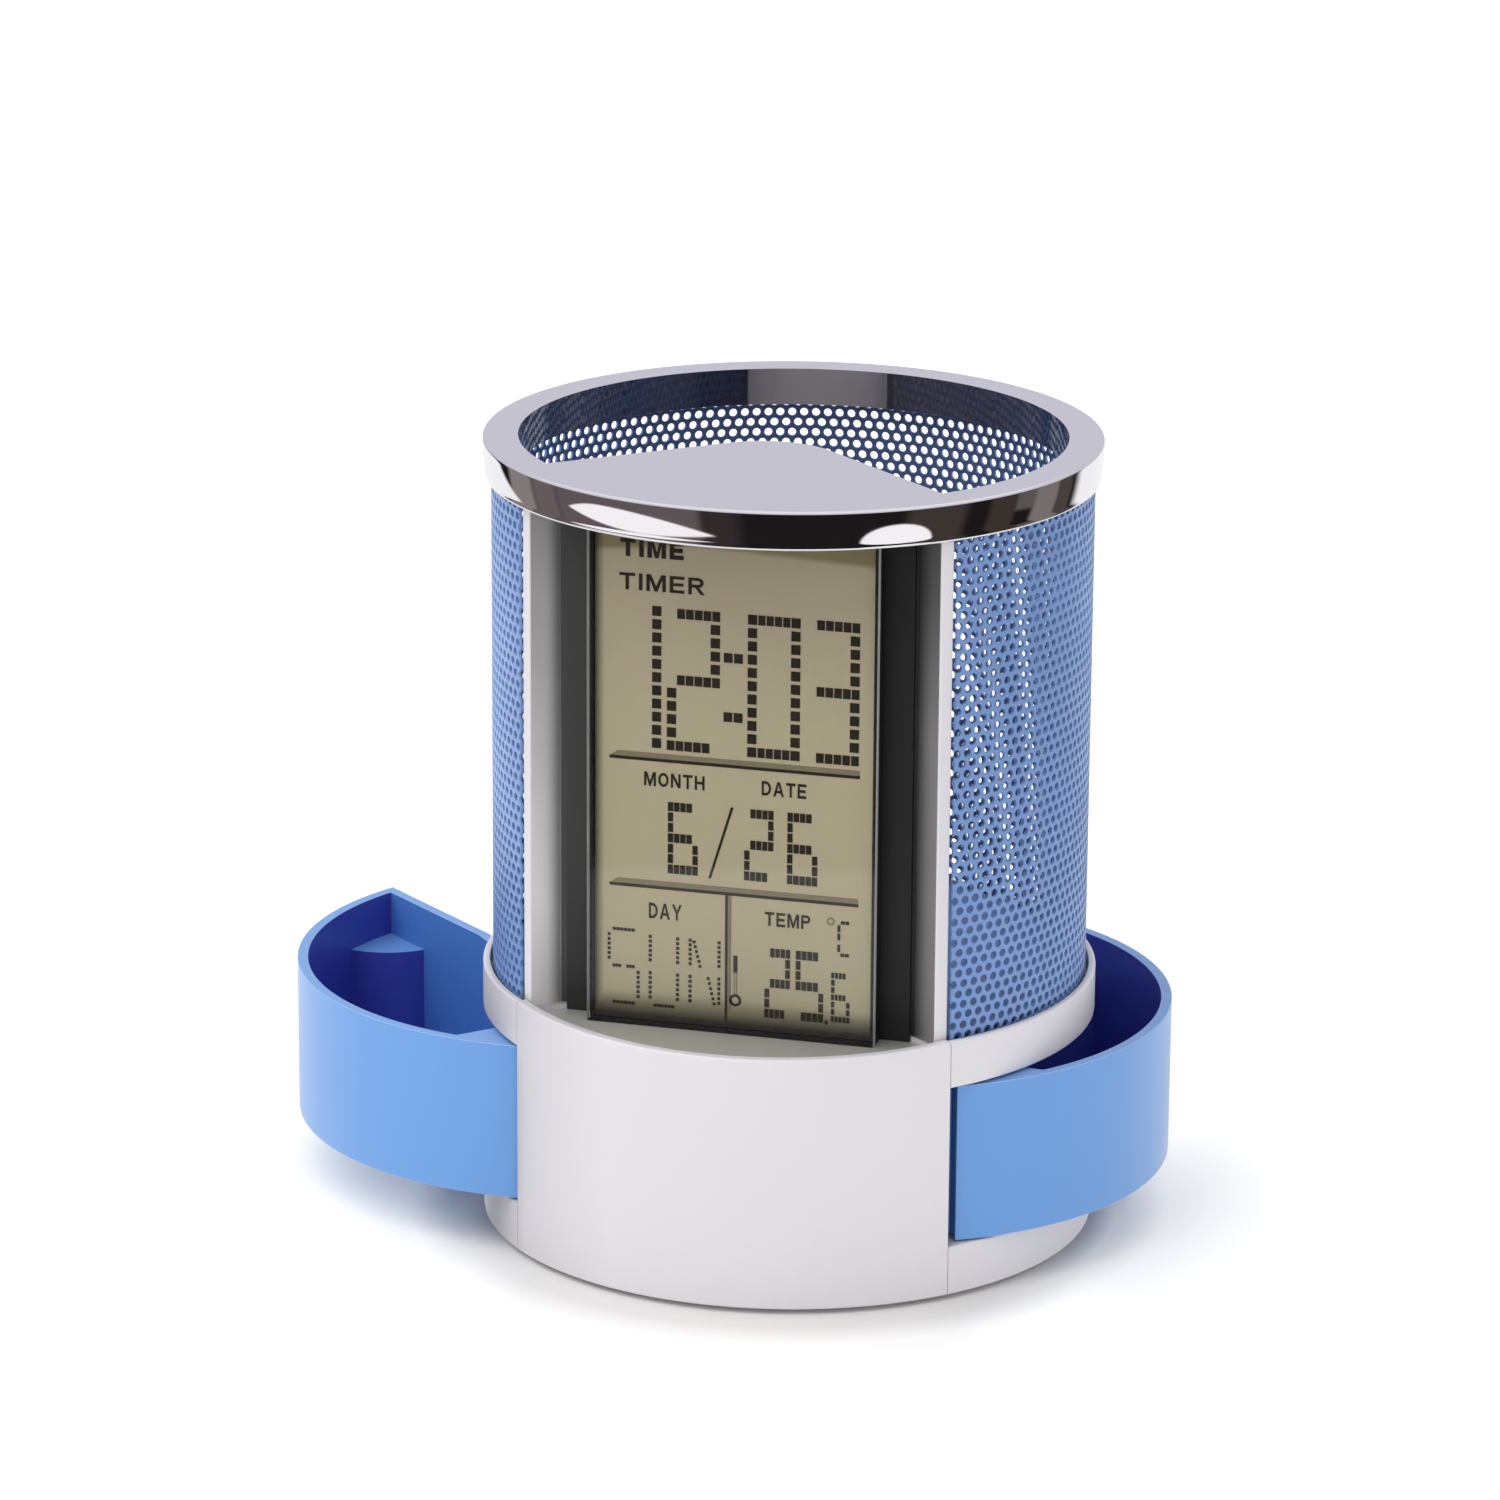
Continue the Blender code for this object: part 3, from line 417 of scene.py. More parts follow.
def rounded(pts, n=6):
    """Closed outline of (a, b, radius) corners with each corner of radius > 0 turned into an arc."""
    out = []
    count = len(pts)
    for i, p in enumerate(pts):
        r = p[2] if len(p) > 2 else 0.0
        if r <= 0:
            out.append((p[0], p[1]))
            continue
        a, b = Vector(pts[i - 1][:2]), Vector(pts[(i + 1) % count][:2])
        c = Vector(p[:2])
        u, v = (a - c), (b - c)
        lu, lv = u.length, v.length
        u.normalize()
        v.normalize()
        ang = u.angle(v)
        t = min(r / tan(ang / 2), lu * 0.499, lv * 0.499)
        r = t * tan(ang / 2)
        centre = c + (u + v).normalized() * (r / sin(ang / 2))
        s, e = c + u * t - centre, c + v * t - centre
        a0 = atan2(s.y, s.x)
        d = atan2(e.y, e.x) - a0
        while d > pi:
            d -= 2 * pi
        while d < -pi:
            d += 2 * pi
        for k in range(n + 1):
            w = a0 + d * k / n
            out.append((centre.x + r * cos(w), centre.y + r * sin(w)))
    return out


# ================================================================ mesh building (mm, turned into metres at the end)
def prism(outline, z0, z1, bm=None):
    bm = bm or bmesh.new()
    lo = [bm.verts.new((x, y, z0)) for x, y in outline]
    hi = [bm.verts.new((x, y, z1)) for x, y in outline]
    bm.faces.new(lo[::-1])
    bm.faces.new(hi)
    for i in range(len(lo)):
        j = (i + 1) % len(lo)
        bm.faces.new((lo[i], lo[j], hi[j], hi[i]))
    return bm


def prism_y(outline, y0, y1, bm=None):
    """Prism along Y of an outline in XZ."""
    bm = bm or bmesh.new()
    lo = [bm.verts.new((x, y0, z)) for x, z in outline]
    hi = [bm.verts.new((x, y1, z)) for x, z in outline]
    bm.faces.new(lo)
    bm.faces.new(hi[::-1])
    for i in range(len(lo)):
        j = (i + 1) % len(lo)
        bm.faces.new((lo[j], lo[i], hi[i], hi[j]))
    return bm


def box(x0, x1, y0, y1, z0, z1, bm=None):
    return prism([(x0, y0), (x1, y0), (x1, y1), (x0, y1)], z0, z1, bm)


def revolve(profile, a0=0.0, a1=360.0, n=192, cx=0.0, cy=0.0):
    """Closed (r, z) profile turned about a vertical axis, angles from the front towards +X."""
    bm = bmesh.new()
    full = abs(a1 - a0 - 360.0) < 1e-9
    rings = []
    for k in range(n if full else n + 1):
        a = radians(a0 + (a1 - a0) * k / n)
        rings.append([bm.verts.new((cx + r * sin(a), cy - r * cos(a), z)) for r, z in profile])
    m = len(profile)
    for k in range(n):
        p, q = rings[k], rings[(k + 1) % len(rings)]
        for i in range(m):
            j = (i + 1) % m
            if profile[i][0] < 1e-9 and profile[j][0] < 1e-9:
                continue
            bm.faces.new((p[i], q[i], q[j], p[j]))
    if not full:
        bm.faces.new(rings[0])
        bm.faces.new(rings[-1][::-1])
    bmesh.ops.remove_doubles(bm, verts=bm.verts, dist=1e-5)
    bmesh.ops.dissolve_degenerate(bm, edges=bm.edges, dist=1e-5)
    bmesh.ops.recalc_face_normals(bm, faces=bm.faces)
    return bm


def holder(bm):
    me = bpy.data.meshes.new("work")
    bmesh.ops.recalc_face_normals(bm, faces=bm.faces)
    bm.to_mesh(me)
    bm.free()
    ob = bpy.data.objects.new("work", me)
    scene.collection.objects.link(ob)
    return ob


def evaluated(ob):
    bpy.context.view_layer.update()
    dg = bpy.context.evaluated_depsgraph_get()
    return bpy.data.meshes.new_from_object(ob.evaluated_get(dg), depsgraph=dg)


def combine(bm, ops):
    """Boolean chain on a mesh in mm; ops is [(operation, bmesh), ...]. Returns a mesh."""
    ob = holder(bm)
    others = []
    for op, other in ops:
        o = holder(other)
        others.append(o)
        m = ob.modifiers.new("bool", 'BOOLEAN')
        m.object = o
        m.operation = op
        m.solver = 'EXACT'
    me = evaluated(ob)
    for o in others + [ob]:
        data = o.data
        bpy.data.objects.remove(o, do_unlink=True)
        bpy.data.meshes.remove(data)
    return me


def as_bmesh(me):
    bm = bmesh.new()
    bm.from_mesh(me)
    return bm


def piece(name, source, mats, body, nodes=(), bevel=0.0, seg=3, angle=30.0, sharp=40.0, place=None, weight=True):
    """Turn a mm mesh into a finished piece in metres."""
    me = source if isinstance(source, bpy.types.Mesh) else None
    if me is None:
        me = bpy.data.meshes.new(name)
        source.to_mesh(me)
        source.free()
    ob = bpy.data.objects.new(name, me)
    scene.collection.objects.link(ob)
    if bevel:
        m = ob.modifiers.new("bevel", 'BEVEL')
        m.width = bevel
        m.segments = seg
        m.limit_method = 'ANGLE'
        m.angle_limit = radians(angle)
        m.use_clamp_overlap = True
        m.miter_outer = 'MITER_SHARP'
        new = evaluated(ob)
        ob.modifiers.clear()
        ob.data = new
        bpy.data.meshes.remove(me)
        me = new
    if place is not None:
        me.transform(place)
    me.transform(Matrix.Scale(0.001, 4))
    me.shade_smooth()
    me.set_sharp_from_angle(angle=radians(sharp))
    if weight:
        m = ob.modifiers.new("normals", 'WEIGHTED_NORMAL')
        m.keep_sharp = True
        m.weight = 60
        new = evaluated(ob)
        ob.modifiers.clear()
        ob.data = new
        bpy.data.meshes.remove(me)
        me = new
    me.name = name
    me.materials.clear()
    for mat in (mats if isinstance(mats, (list, tuple)) else [mats]):
        me.materials.append(mat)
    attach(ob, body)
    if nodes:
        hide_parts(*nodes)
    return ob


def paint(ob, rule):
    """rule(centre in mm, normal) -> material index."""
    for f in ob.data.polygons:
        f.material_index = rule(f.center * 1000.0, f.normal)


# ================================================================ shared dimensions
BASE_R, SKIRT_Z = 42.5, 0.7
SILL, DIP = 35.4, 0.75
TRAY_FLOOR_Z0, TRAY_TOP = 6.0, 7.6
DRAWER_Z0, DRAWER_Z1 = 7.9, 30.0
BAND_Z0, DECK_Z0, DECK_FLOOR, RIM_TOP = 30.35, 33.4, 36.1, 36.9
MESH_END, MESH_Z0, MESH_Z1 = 46.9, 34.9, 109.0
RING_Z0, RING_TOP, RING_R, RING_HOLE_R = 106.1, 111.5, 42.26, 37.4
PANEL_T, PANEL_HALF, SEAM = 1.5, 45.45, 45.56
PIVOT_R, PIVOT_A, BARREL_R = 34.8, 52.0, 7.0
DRAWER_R, WALL = 41.8, 1.5
LEFT_OPEN, RIGHT_OPEN = 60.5, 21.7
NOSE_HALF, NOSE_APEX_Y, NOSE_FILLET = 48.3, -1.5, 10.3
CASE_TOP = 109.6
PX = PIVOT_R * sin(radians(PIVOT_A))
PY = -PIVOT_R * cos(radians(PIVOT_A))
NX, NY = sin(radians(NOSE_HALF)), -cos(radians(NOSE_HALF))


def nose_side(s, inset=0.0):
    return (NX * s + NY * inset, NOSE_APEX_Y + NY * s - NX * inset)


def nose_tip(inset=0.0, n=24):
    r = NOSE_FILLET - inset
    cy = NOSE_APEX_Y - NOSE_FILLET / sin(radians(NOSE_HALF))
    a = radians(90.0 - NOSE_HALF)
    return [(r * sin(a * (1 - 2 * k / n)), cy + r * cos(a * (1 - 2 * k / n))) for k in range(n + 1)]


# ================================================================ top ring: plated, with the flat nose
def top_ring():
    wall = []
    for k in range(17):                       # slightly barrelled outer wall
        z = 106.82 + (111.10 - 106.82) * k / 16
        wall.append((RING_R - 0.0175 * max(0.0, 110.72 - z) ** 2, z))
    lip = [(41.45, RING_Z0)] + [(41.62 + 0.375 * sin(radians(w)), 106.52 - 0.42 * cos(radians(w))) for w in range(0, 100, 12)]
    top = [(RING_R - 0.40 * (1 - cos(radians(w))), 111.10 + 0.40 * sin(radians(w))) for w in range(10, 91, 10)]
    profile = [(0, 110.2), (36.5, 110.2), (36.5, 106.3), (38.6, 106.3), (38.7, 109.9), (41.45, 109.9)] + lip + wall + top \
        + [(0, RING_TOP)]
    far = line_circle((nose_side(10), nose_side(40)), RING_HOLE_R, nose_side(36))
    a_far = angle_of(far)
    mouth = arc(RING_HOLE_R, a_far, 360.0 - a_far, 150) + list(reversed(nose_tip()))
    gap = [(0, 6.0)] + [polar(41.2, -46.75)] + arc(41.2, -46.75, 46.75, 60)[1:-1] + [polar(41.2, 46.75)]
    me = combine(revolve(profile, n=256), [('DIFFERENCE', prism(mouth, 100, 120)),
                                           ('DIFFERENCE', prism(gap, 105.0, 110.2))])
    ob = piece("plated_ring", me, [CHROME, CHROME_PAINTED_SHADE], "base", ("top_ring",), bevel=0.42, seg=4, angle=38,
               sharp=50)
    # painted shade on the inner wall of the ring's opening
    paint(ob, lambda c, nrm: 1 if abs(nrm.z) < 0.5 and hypot(c.x, c.y) < RING_HOLE_R + 0.3 and c.z < 111.2 else 0)


top_ring()


# ================================================================ perforated cup wall
def perforated(name, first, last, phase_a, phase_z, replaces=()):
    """Sheet with staggered round holes between column `first` and `last`; x is the arc position in degrees."""
    count = 152
    step = 360.0 / count
    r_in, r_out = 40.70, 41.1
    mid = 40.9
    pitch = 2 * pi * mid / count
    row = pitch * sqrt(3) / 2
    hole = 0.585
    x_lo, x_hi = MESH_END * pitch / step, (360.0 - MESH_END - 0.75) * pitch / step
    verts, index, faces = [], {}, []

    def vert(key, x, z):
        if key not in index:
            index[key] = len(verts)
            verts.append((min(max(x, x_lo), x_hi), min(max(z, MESH_Z0), MESH_Z1)))
        return index[key]

    rows = range(int((MESH_Z0 - phase_z) / row) - 1, int((MESH_Z1 - phase_z) / row) + 3)
    spots = []
    for k in range(12):
        w = 2 * pi * k / 12
        d = pitch / sqrt(3) if k % 2 else pitch / 2          # hexagon corners at odd k, middles of its sides at even k
        spots.append((cos(w) * d, sin(w) * d, cos(w) * hole, sin(w) * hole))
    for j in rows:
        for i in range(first, last):
            cx = (i + 0.5 * (j % 2)) * pitch + phase_a
            cz = phase_z + j * row
            if cx < x_lo - pitch or cx > x_hi + pitch or cz < MESH_Z0 - row or cz > MESH_Z1 + row:
                continue
            outer, inner = [], []
            for k, (dx, dz, hx, hz) in enumerate(spots):
                key = (round((4 * i + 2 * (j % 2)) + dx / (pitch / 4)), round(6 * j + dz / (row / 6)))
                outer.append(vert(key, cx + dx, cz + dz))
                inner.append(vert((i, j, k, 'h'), cx + hx, cz + hz))
            for k in range(12):
                q = (outer[k], outer[(k + 1) % 12], inner[(k + 1) % 12], inner[k])
                xs = [verts[v][0] for v in q]
                zs = [verts[v][1] for v in q]
                if max(xs) - min(xs) < 1e-6 or max(zs) - min(zs) < 1e-6:
                    continue
                faces.append(q)
    flat = bmesh.new()
    vs = [flat.verts.new((x, z, 0)) for x, z in verts]
    for q in faces:
        flat.faces.new([vs[v] for v in q])
    bmesh.ops.remove_doubles(flat, verts=flat.verts, dist=1e-4)
    bmesh.ops.dissolve_degenerate(flat, edges=flat.edges, dist=1e-4)
    bmesh.ops.delete(flat, geom=[v for v in flat.verts if not v.link_faces], context='VERTS')
    bmesh.ops.recalc_face_normals(flat, faces=flat.faces)
    flat.verts.ensure_lookup_table()
    flat.verts.index_update()
    pts = [(v.co.x, v.co.y) for v in flat.verts]
    n = len(pts)
    out = []
    for rad in (r_out, r_in):
        for x, z in pts:
            a = radians(x / pitch * step)
            out.append((rad * sin(a), -rad * cos(a), z))
    polys = []
    for f in flat.faces:
        loop = [v.index for v in f.verts]
        if f.normal.z < 0:
            loop.reverse()
        polys.append(tuple(loop))
        polys.append(tuple(i + n for i in reversed(loop)))
    for e in flat.edges:
        if len(e.link_faces) == 1:
            a, b = e.verts[0].index, e.verts[1].index
            polys.append((a, b, b + n, a + n))
    flat.free()
    me = bpy.data.meshes.new(name)
    me.from_pydata(out, [], polys)
    me.validate()
    bm = as_bmesh(me)
    bmesh.ops.recalc_face_normals(bm, faces=bm.faces)
    bm.to_mesh(me)
    bm.free()
    ob = piece(name, me, [MESH_BLUE_PAINTED_SHEEN, MESH_PAINTED_SHADE], "base", replaces, sharp=35.0, weight=False)
    # painted shade on the faces that look into the cup
    paint(ob, lambda c, nrm: 1 if nrm.x * c.x + nrm.y * c.y < -30.0 else 0)
    return ob


MESH_PHASE_A, MESH_PHASE_Z = 0.0, 0.45
perforated("mesh_wall_right", 15, 57, MESH_PHASE_A, MESH_PHASE_Z, ("mesh_cup",))
perforated("mesh_wall_back", 57, 95, MESH_PHASE_A, MESH_PHASE_Z)
perforated("mesh_wall_left", 95, 137, MESH_PHASE_A, MESH_PHASE_Z)

# floor of the cup
floor_far = line_circle((nose_side(10, -0.2), nose_side(40, -0.2)), 39.7, nose_side(36, -0.2))
a_floor = angle_of(floor_far)
piece("cup_floor_sheet", prism(arc(39.7, a_floor, 360.0 - a_floor, 140) + list(reversed(nose_tip(-0.2))), 36.4, 36.9),
      MESH_BLUE_PAINTED_SHEEN, "base", ("cup_floor",), bevel=0.12, seg=2)


# ================================================================ base shells
def base_shells():
    n = 256
    # collar and deck
    prof = rounded([(0, DECK_Z0), (40.9, DECK_Z0), (40.9, BAND_Z0), (BASE_R, BAND_Z0, 0.25), (BASE_R, RIM_TOP, 0.42),
                    (41.5, RIM_TOP, 0.22), (41.5, 34.6), (40.05, 34.6), (40.05, DECK_FLOOR, 0.15), (0, DECK_FLOOR)], 5)
    posts = bmesh.new()
    for s in (1, -1):
        prism(circle(PX * s, PY, 3.2), BAND_Z0, 34.0, posts)
    ledge = revolve([(39.6, 33.8), (40.55, 33.8), (40.55, DECK_FLOOR), (39.6, DECK_FLOOR)], -45.4, 45.4, 64)
    holes = bmesh.new()
    for s in (1, -1):
        prism(circle(PX * s, PY, 1.6), 29.0, 33.0, holes)
    for x, y in ((16.0, -31.0), (-16.0, -31.0)):
        prism(circle(x, y, 1.55), 30.0, 34.6, holes)
    for x, y in ((12.6, -17.0), (-12.6, -17.0)):
        prism(circle(x, y, 1.35), 30.0, 40.0, holes)
    slot = box(-5, 5, -20.6, -9.0, 30, 40)
    sill = prism(arc(40.65, -44.0, 44.0, 60) + [(22.0, -25.0), (-22.0, -25.0)], SILL, 38.0)
    me = combine(revolve(prof, n=n),
                 [('DIFFERENCE', revolve([(40.55, 28), (46, 28), (46, 40), (40.55, 40)], -SEAM, SEAM + 0.4, 64)),
                  ('UNION', posts), ('UNION', ledge), ('DIFFERENCE', holes), ('DIFFERENCE', slot), ('DIFFERENCE', sill)])
    ob = piece("collar_and_deck", me, [SILVER_BASE_PAINTED_SHADE, LEDGE], "base", ("base_deck",), bevel=0.15, seg=2, angle=50,
               sharp=45)
    # the ledge in front of the window takes the silver with the painted reflection
    paint(ob, lambda c, nrm: 1 if nrm.z > 0.9 and SILL - 0.2 < c.z < DECK_FLOOR + 0.2 else 0)

    # front panel
    r0 = BASE_R - PANEL_T
    prof = rounded([(r0, SKIRT_Z), (BASE_R, SKIRT_Z, 0.35), (BASE_R, RIM_TOP, 0.45), (r0, RIM_TOP, 0.25)], 6)
    swing = bmesh.new()
    for s in (1, -1):
        prism(circle(PX * s, PY, 8.0, 72), TRAY_TOP, BAND_Z0, swing)
    ribs = bmesh.new()
    for a in (-24.0, 0.0, 24.0):
        prism([polar(39.2, a - 1.1), polar(41.4, a - 1.1), polar(41.4, a + 1.1), polar(39.2, a + 1.1)], 8.2, 32.8, ribs)
    shell = revolve(prof, -PANEL_HALF, PANEL_HALF + 0.4, 96)
    for v in shell.verts:
        if v.co.z > 34.0:
            v.co.z -= DIP * max(0.0, 1.0 - (angle_of(v.co) / PANEL_HALF) ** 2)
    me = combine(shell, [('UNION', ribs), ('DIFFERENCE', swing)])
    piece("curved_front_panel", me, SILVER_BASE_PAINTED_SHADE, "base", ("front_panel",), bevel=0.16, seg=3, angle=40, sharp=45)

    # tray
    prof = rounded([(0, TRAY_FLOOR_Z0), (40.7, TRAY_FLOOR_Z0), (40.7, SKIRT_Z), (BASE_R, SKIRT_Z, 0.35),
                    (BASE_R, TRAY_TOP, 0.4), (0, TRAY_TOP)], 6)
    bosses = bmesh.new()
    for s in (1, -1):
        prism(circle(PX * s, PY, 3.0), 3.0, 6.8, bosses)
    for x, y in ((33.5, 2.0), (-33.5, 2.0), (0.0, 34.0)):
        prism(circle(x, y, 3.0), 3.6, 6.8, bosses)
    holes = bmesh.new()
    for s in (1, -1):
        prism(circle(PX * s, PY, 1.6), 3.6, 12, holes)
    for x, y in ((33.5, 2.0), (-33.5, 2.0), (0.0, 34.0)):
        prism(circle(x, y, 1.3, 24), 1, 6.9, holes)
    for x, y in ((16.0, -31.0), (-16.0, -31.0), (0.0, 27.0)):
        prism(circle(x, y, 1.6, 24), 1, 12, holes)
    prism(circle(0, -14.0, 11.0, 64), 1, 12, holes)
    me = combine(revolve(prof, n=n),
                 [('DIFFERENCE', revolve([(40.55, 0), (46, 0), (46, 10), (40.55, 10)], -SEAM, SEAM + 0.4, 64)),
                  ('UNION', revolve([(38.9, SKIRT_Z), (40.55, SKIRT_Z), (40.55, 6.8), (38.9, 6.8)], -48.5, 48.5, 64)),
                  ('UNION', bosses), ('DIFFERENCE', holes), ('DIFFERENCE', box(-3.6, 3.6, -5.0, 15.2, 1.0, 12))])
    piece("tray_shell", me, SILVER_BASE_PAINTED_SHADE, "base", ("base_tray",), bevel=0.15, seg=2, angle=50, sharp=45)


base_shells()

# ================================================================ drawers and the column between them
CORNER = (0.4, sqrt(DRAWER_R ** 2 - 0.4 ** 2))
ELBOW = (5.0, 16.0)
_d = hypot(PX - ELBOW[0], PY - ELBOW[1])
_base = atan2(PY - ELBOW[1], PX - ELBOW[0]) - asin(BARREL_R / _d)
_len = sqrt(_d * _d - BARREL_R * BARREL_R)
TANGENT = (ELBOW[0] + _len * cos(_base), ELBOW[1] + _len * sin(_base))
SIDE_1 = (CORNER, ELBOW)
SIDE_2 = (ELBOW, TANGENT)


def drawer_outline(inset=0.0):
    pts = arc(DRAWER_R, PIVOT_A, 179.45, 110)
    # the knee in the side wall is a soft bend
    knee = rounded([(*CORNER, 0), (*ELBOW, 6.0), (*TANGENT, 0)], 10)[1:-1]
    pts += knee
    a_start = degrees(atan2(TANGENT[1] - PY, TANGENT[0] - PX)) % 360.0
    a_end = (PIVOT_A - 90.0) % 360.0
    n = 36
    for k in range(n):
        a = radians(a_start + (a_end - a_start) * k / n)
        pts.append((PX + BARREL_R * cos(a), PY + BARREL_R * sin(a)))
    return pts


def cavity_outline():
    s1 = shift_line(*SIDE_1, WALL)
    s2 = shift_line(*SIDE_2, WALL)
    hub_dir = Vector((-0.25, 0.97)).normalized()
    hp = (PX + 5.4 * hub_dir.x, PY + 5.4 * hub_dir.y)
    hub = (hp, (hp[0] - hub_dir.y, hp[1] + hub_dir.x))
    r = DRAWER_R - WALL
    a = line_circle(hub, r, (PX, PY))
    b = line_circle(s1, r, CORNER)
    run = arc(r, angle_of(a), angle_of(b), 100)
    k1, k2 = meet(s1, s2), meet(s2, hub)
    tail = rounded([(*run[-1], 0), (*k1, 5.0), (*k2, 0.9), (*run[0], 0)], 8)[1:-1]
    return run + tail


STEP_Z = 23.6


def drawer(name, node, side, open_deg):
    px = PX * side
    flip = (lambda p: p) if side > 0 else mirror_x

    def plan(pts):
        return [(x - px, y - PY) for x, y in flip(pts)]

    def about_pin(r, a):
        return (PX + r * cos(radians(a)), PY + r * sin(radians(a)))

    relief = [about_pin(4.6, w) for w in range(226, 323, 8)] + [about_pin(4.6, 322), about_pin(8.5, 322)] \
        + [about_pin(8.5, w) for w in range(314, 225, -8)]
    cx, cy = CORNER[0], CORNER[1] + 0.7
    hollow = combine(prism(plan(cavity_outline()), DRAWER_Z0 + WALL, DRAWER_Z1 + 2),
                     [('DIFFERENCE', prism(plan(circle(cx, cy, 11.5, 96)), DRAWER_Z0 - 2, STEP_Z))])
    me = combine(prism(plan(drawer_outline()), DRAWER_Z0, DRAWER_Z1),
                 [('DIFFERENCE', as_bmesh(hollow)),
                  ('DIFFERENCE', prism(plan(circle(cx, cy, 10.0, 96)), DRAWER_Z0 - 3, STEP_Z - 1.5)),
                  ('DIFFERENCE', prism(circle(0, 0, 1.6, 32), DRAWER_Z0 - 2, DRAWER_Z1 + 3)),
                  ('DIFFERENCE', prism(plan(relief), DRAWER_Z0 - 2, DRAWER_Z1 + 3))])
    bpy.data.meshes.remove(hollow)
    place = Matrix.Translation((px, PY, 0)) @ Matrix.Rotation(radians(-side * open_deg), 4, 'Z')
    ob = piece(name, me, [BLUE, BLUE_PAINTED_SHADE, BLUE_PAINTED_HIGHLIGHT, BLUE_PAINTED_DEEP_SHADE], node, (node,), bevel=0.42, seg=4, angle=32, sharp=45,
               place=place)
    back = place.inverted()
    room = plan(cavity_outline())

    def front_of(p):
        """Side of the hinge barrel that the skin stands in front of."""
        w = degrees(atan2(p.y, p.x * side)) % 360.0
        return 224.0 < w < 324.5

    def rule(c, nrm):
        q = back @ (c + nrm * 0.5)
        pin = back @ c
        # painted shade on the hinge barrel in the gap beside the panel's edge
        if hypot(pin.x, pin.y) < 6.2 and pin.z > DRAWER_Z0 + 0.5 and abs(nrm.z) < 0.5 and front_of(pin):
            return 1
        # painted highlight on the rounded edges at the top and bottom
        if 0.30 < abs(nrm.z) < 0.97 and (c.z > DRAWER_Z1 - 0.45 or c.z < DRAWER_Z0 + 0.45):
            return 2
        if not DRAWER_Z0 + 0.8 < q.z < DRAWER_Z1 - 0.35 or abs(nrm.z) > 0.8 and q.z > STEP_Z - 0.7:
            return 0
        inside = False
        for i in range(len(room)):
            (xa, ya), (xb, yb) = room[i - 1], room[i]
            if (ya > q.y) != (yb > q.y) and q.x < (xb - xa) * (q.y - ya) / (yb - ya) + xa:
                inside = not inside
        if not inside:
            return 0
        u, v = q.x + px, q.y + PY
        step_r = hypot(u - cx * side, v - cy)
        if step_r < 11.0 and q.z < STEP_Z - 0.7:
            return 0
        # deeper painted shade on the curved inner wall and the front of the step
        if abs(nrm.z) < 0.35 and (hypot(u, v) > DRAWER_R - WALL - 1.0 or q.z < STEP_Z and step_r < 12.4):
            return 3
        # painted shade on the rest of the inside
        return 1
    paint(ob, rule)


drawer("blue_drawer_right", "right_drawer", 1, RIGHT_OPEN)
drawer("blue_drawer_left", "left_drawer", -1, LEFT_OPEN)


def column():
    side_1 = shift_line(*SIDE_1, -0.5)
    side_2 = shift_line(*SIDE_2, -0.5)
    knee = meet(side_1, side_2)
    xs = x_at(side_2, -24.0)
    front_r = 38.7
    half = [(x_at(side_1, 32.0), 32.0), knee, (xs, -24.0), (xs, -sqrt(front_r ** 2 - xs ** 2))]
    a_half = angle_of(half[-1])
    outline = half + arc(front_r, a_half, -a_half, 60)[1:-1] + mirror_x(half)
    in_2 = shift_line(*SIDE_2, -0.5 - WALL)
    xi = x_at(in_2, -24.0)
    inner_r = front_r - WALL
    ih = [(x_at(in_2, 12.0), 12.0), (xi, -24.0), (xi, -sqrt(inner_r ** 2 - xi ** 2))]
    ai = angle_of(ih[-1])
    pocket = combine(prism(ih + arc(inner_r, ai, -ai, 60)[1:-1] + mirror_x(ih), 5.0, 36.0),
                     [('DIFFERENCE', prism(circle(16.0, -31.0, 3.1), 4.0, 37.0, prism(circle(-16.0, -31.0, 3.1), 4.0, 37.0)))])
    holes = bmesh.new()
    for x, y in ((16.0, -31.0), (-16.0, -31.0)):
        prism(circle(x, y, 1.55, 24), 4.0, 36.0, holes)
    prism(circle(0.0, 27.0, 1.35, 24), 4.0, 36.0, holes)
    me = combine(prism(outline, 7.9, 33.1), [('DIFFERENCE', as_bmesh(pocket)), ('DIFFERENCE', holes)])
    bpy.data.meshes.remove(pocket)
    piece("column_shell", me, SILVER, "base", ("base_frame",), bevel=0.3, seg=3, angle=25, sharp=45)


column()


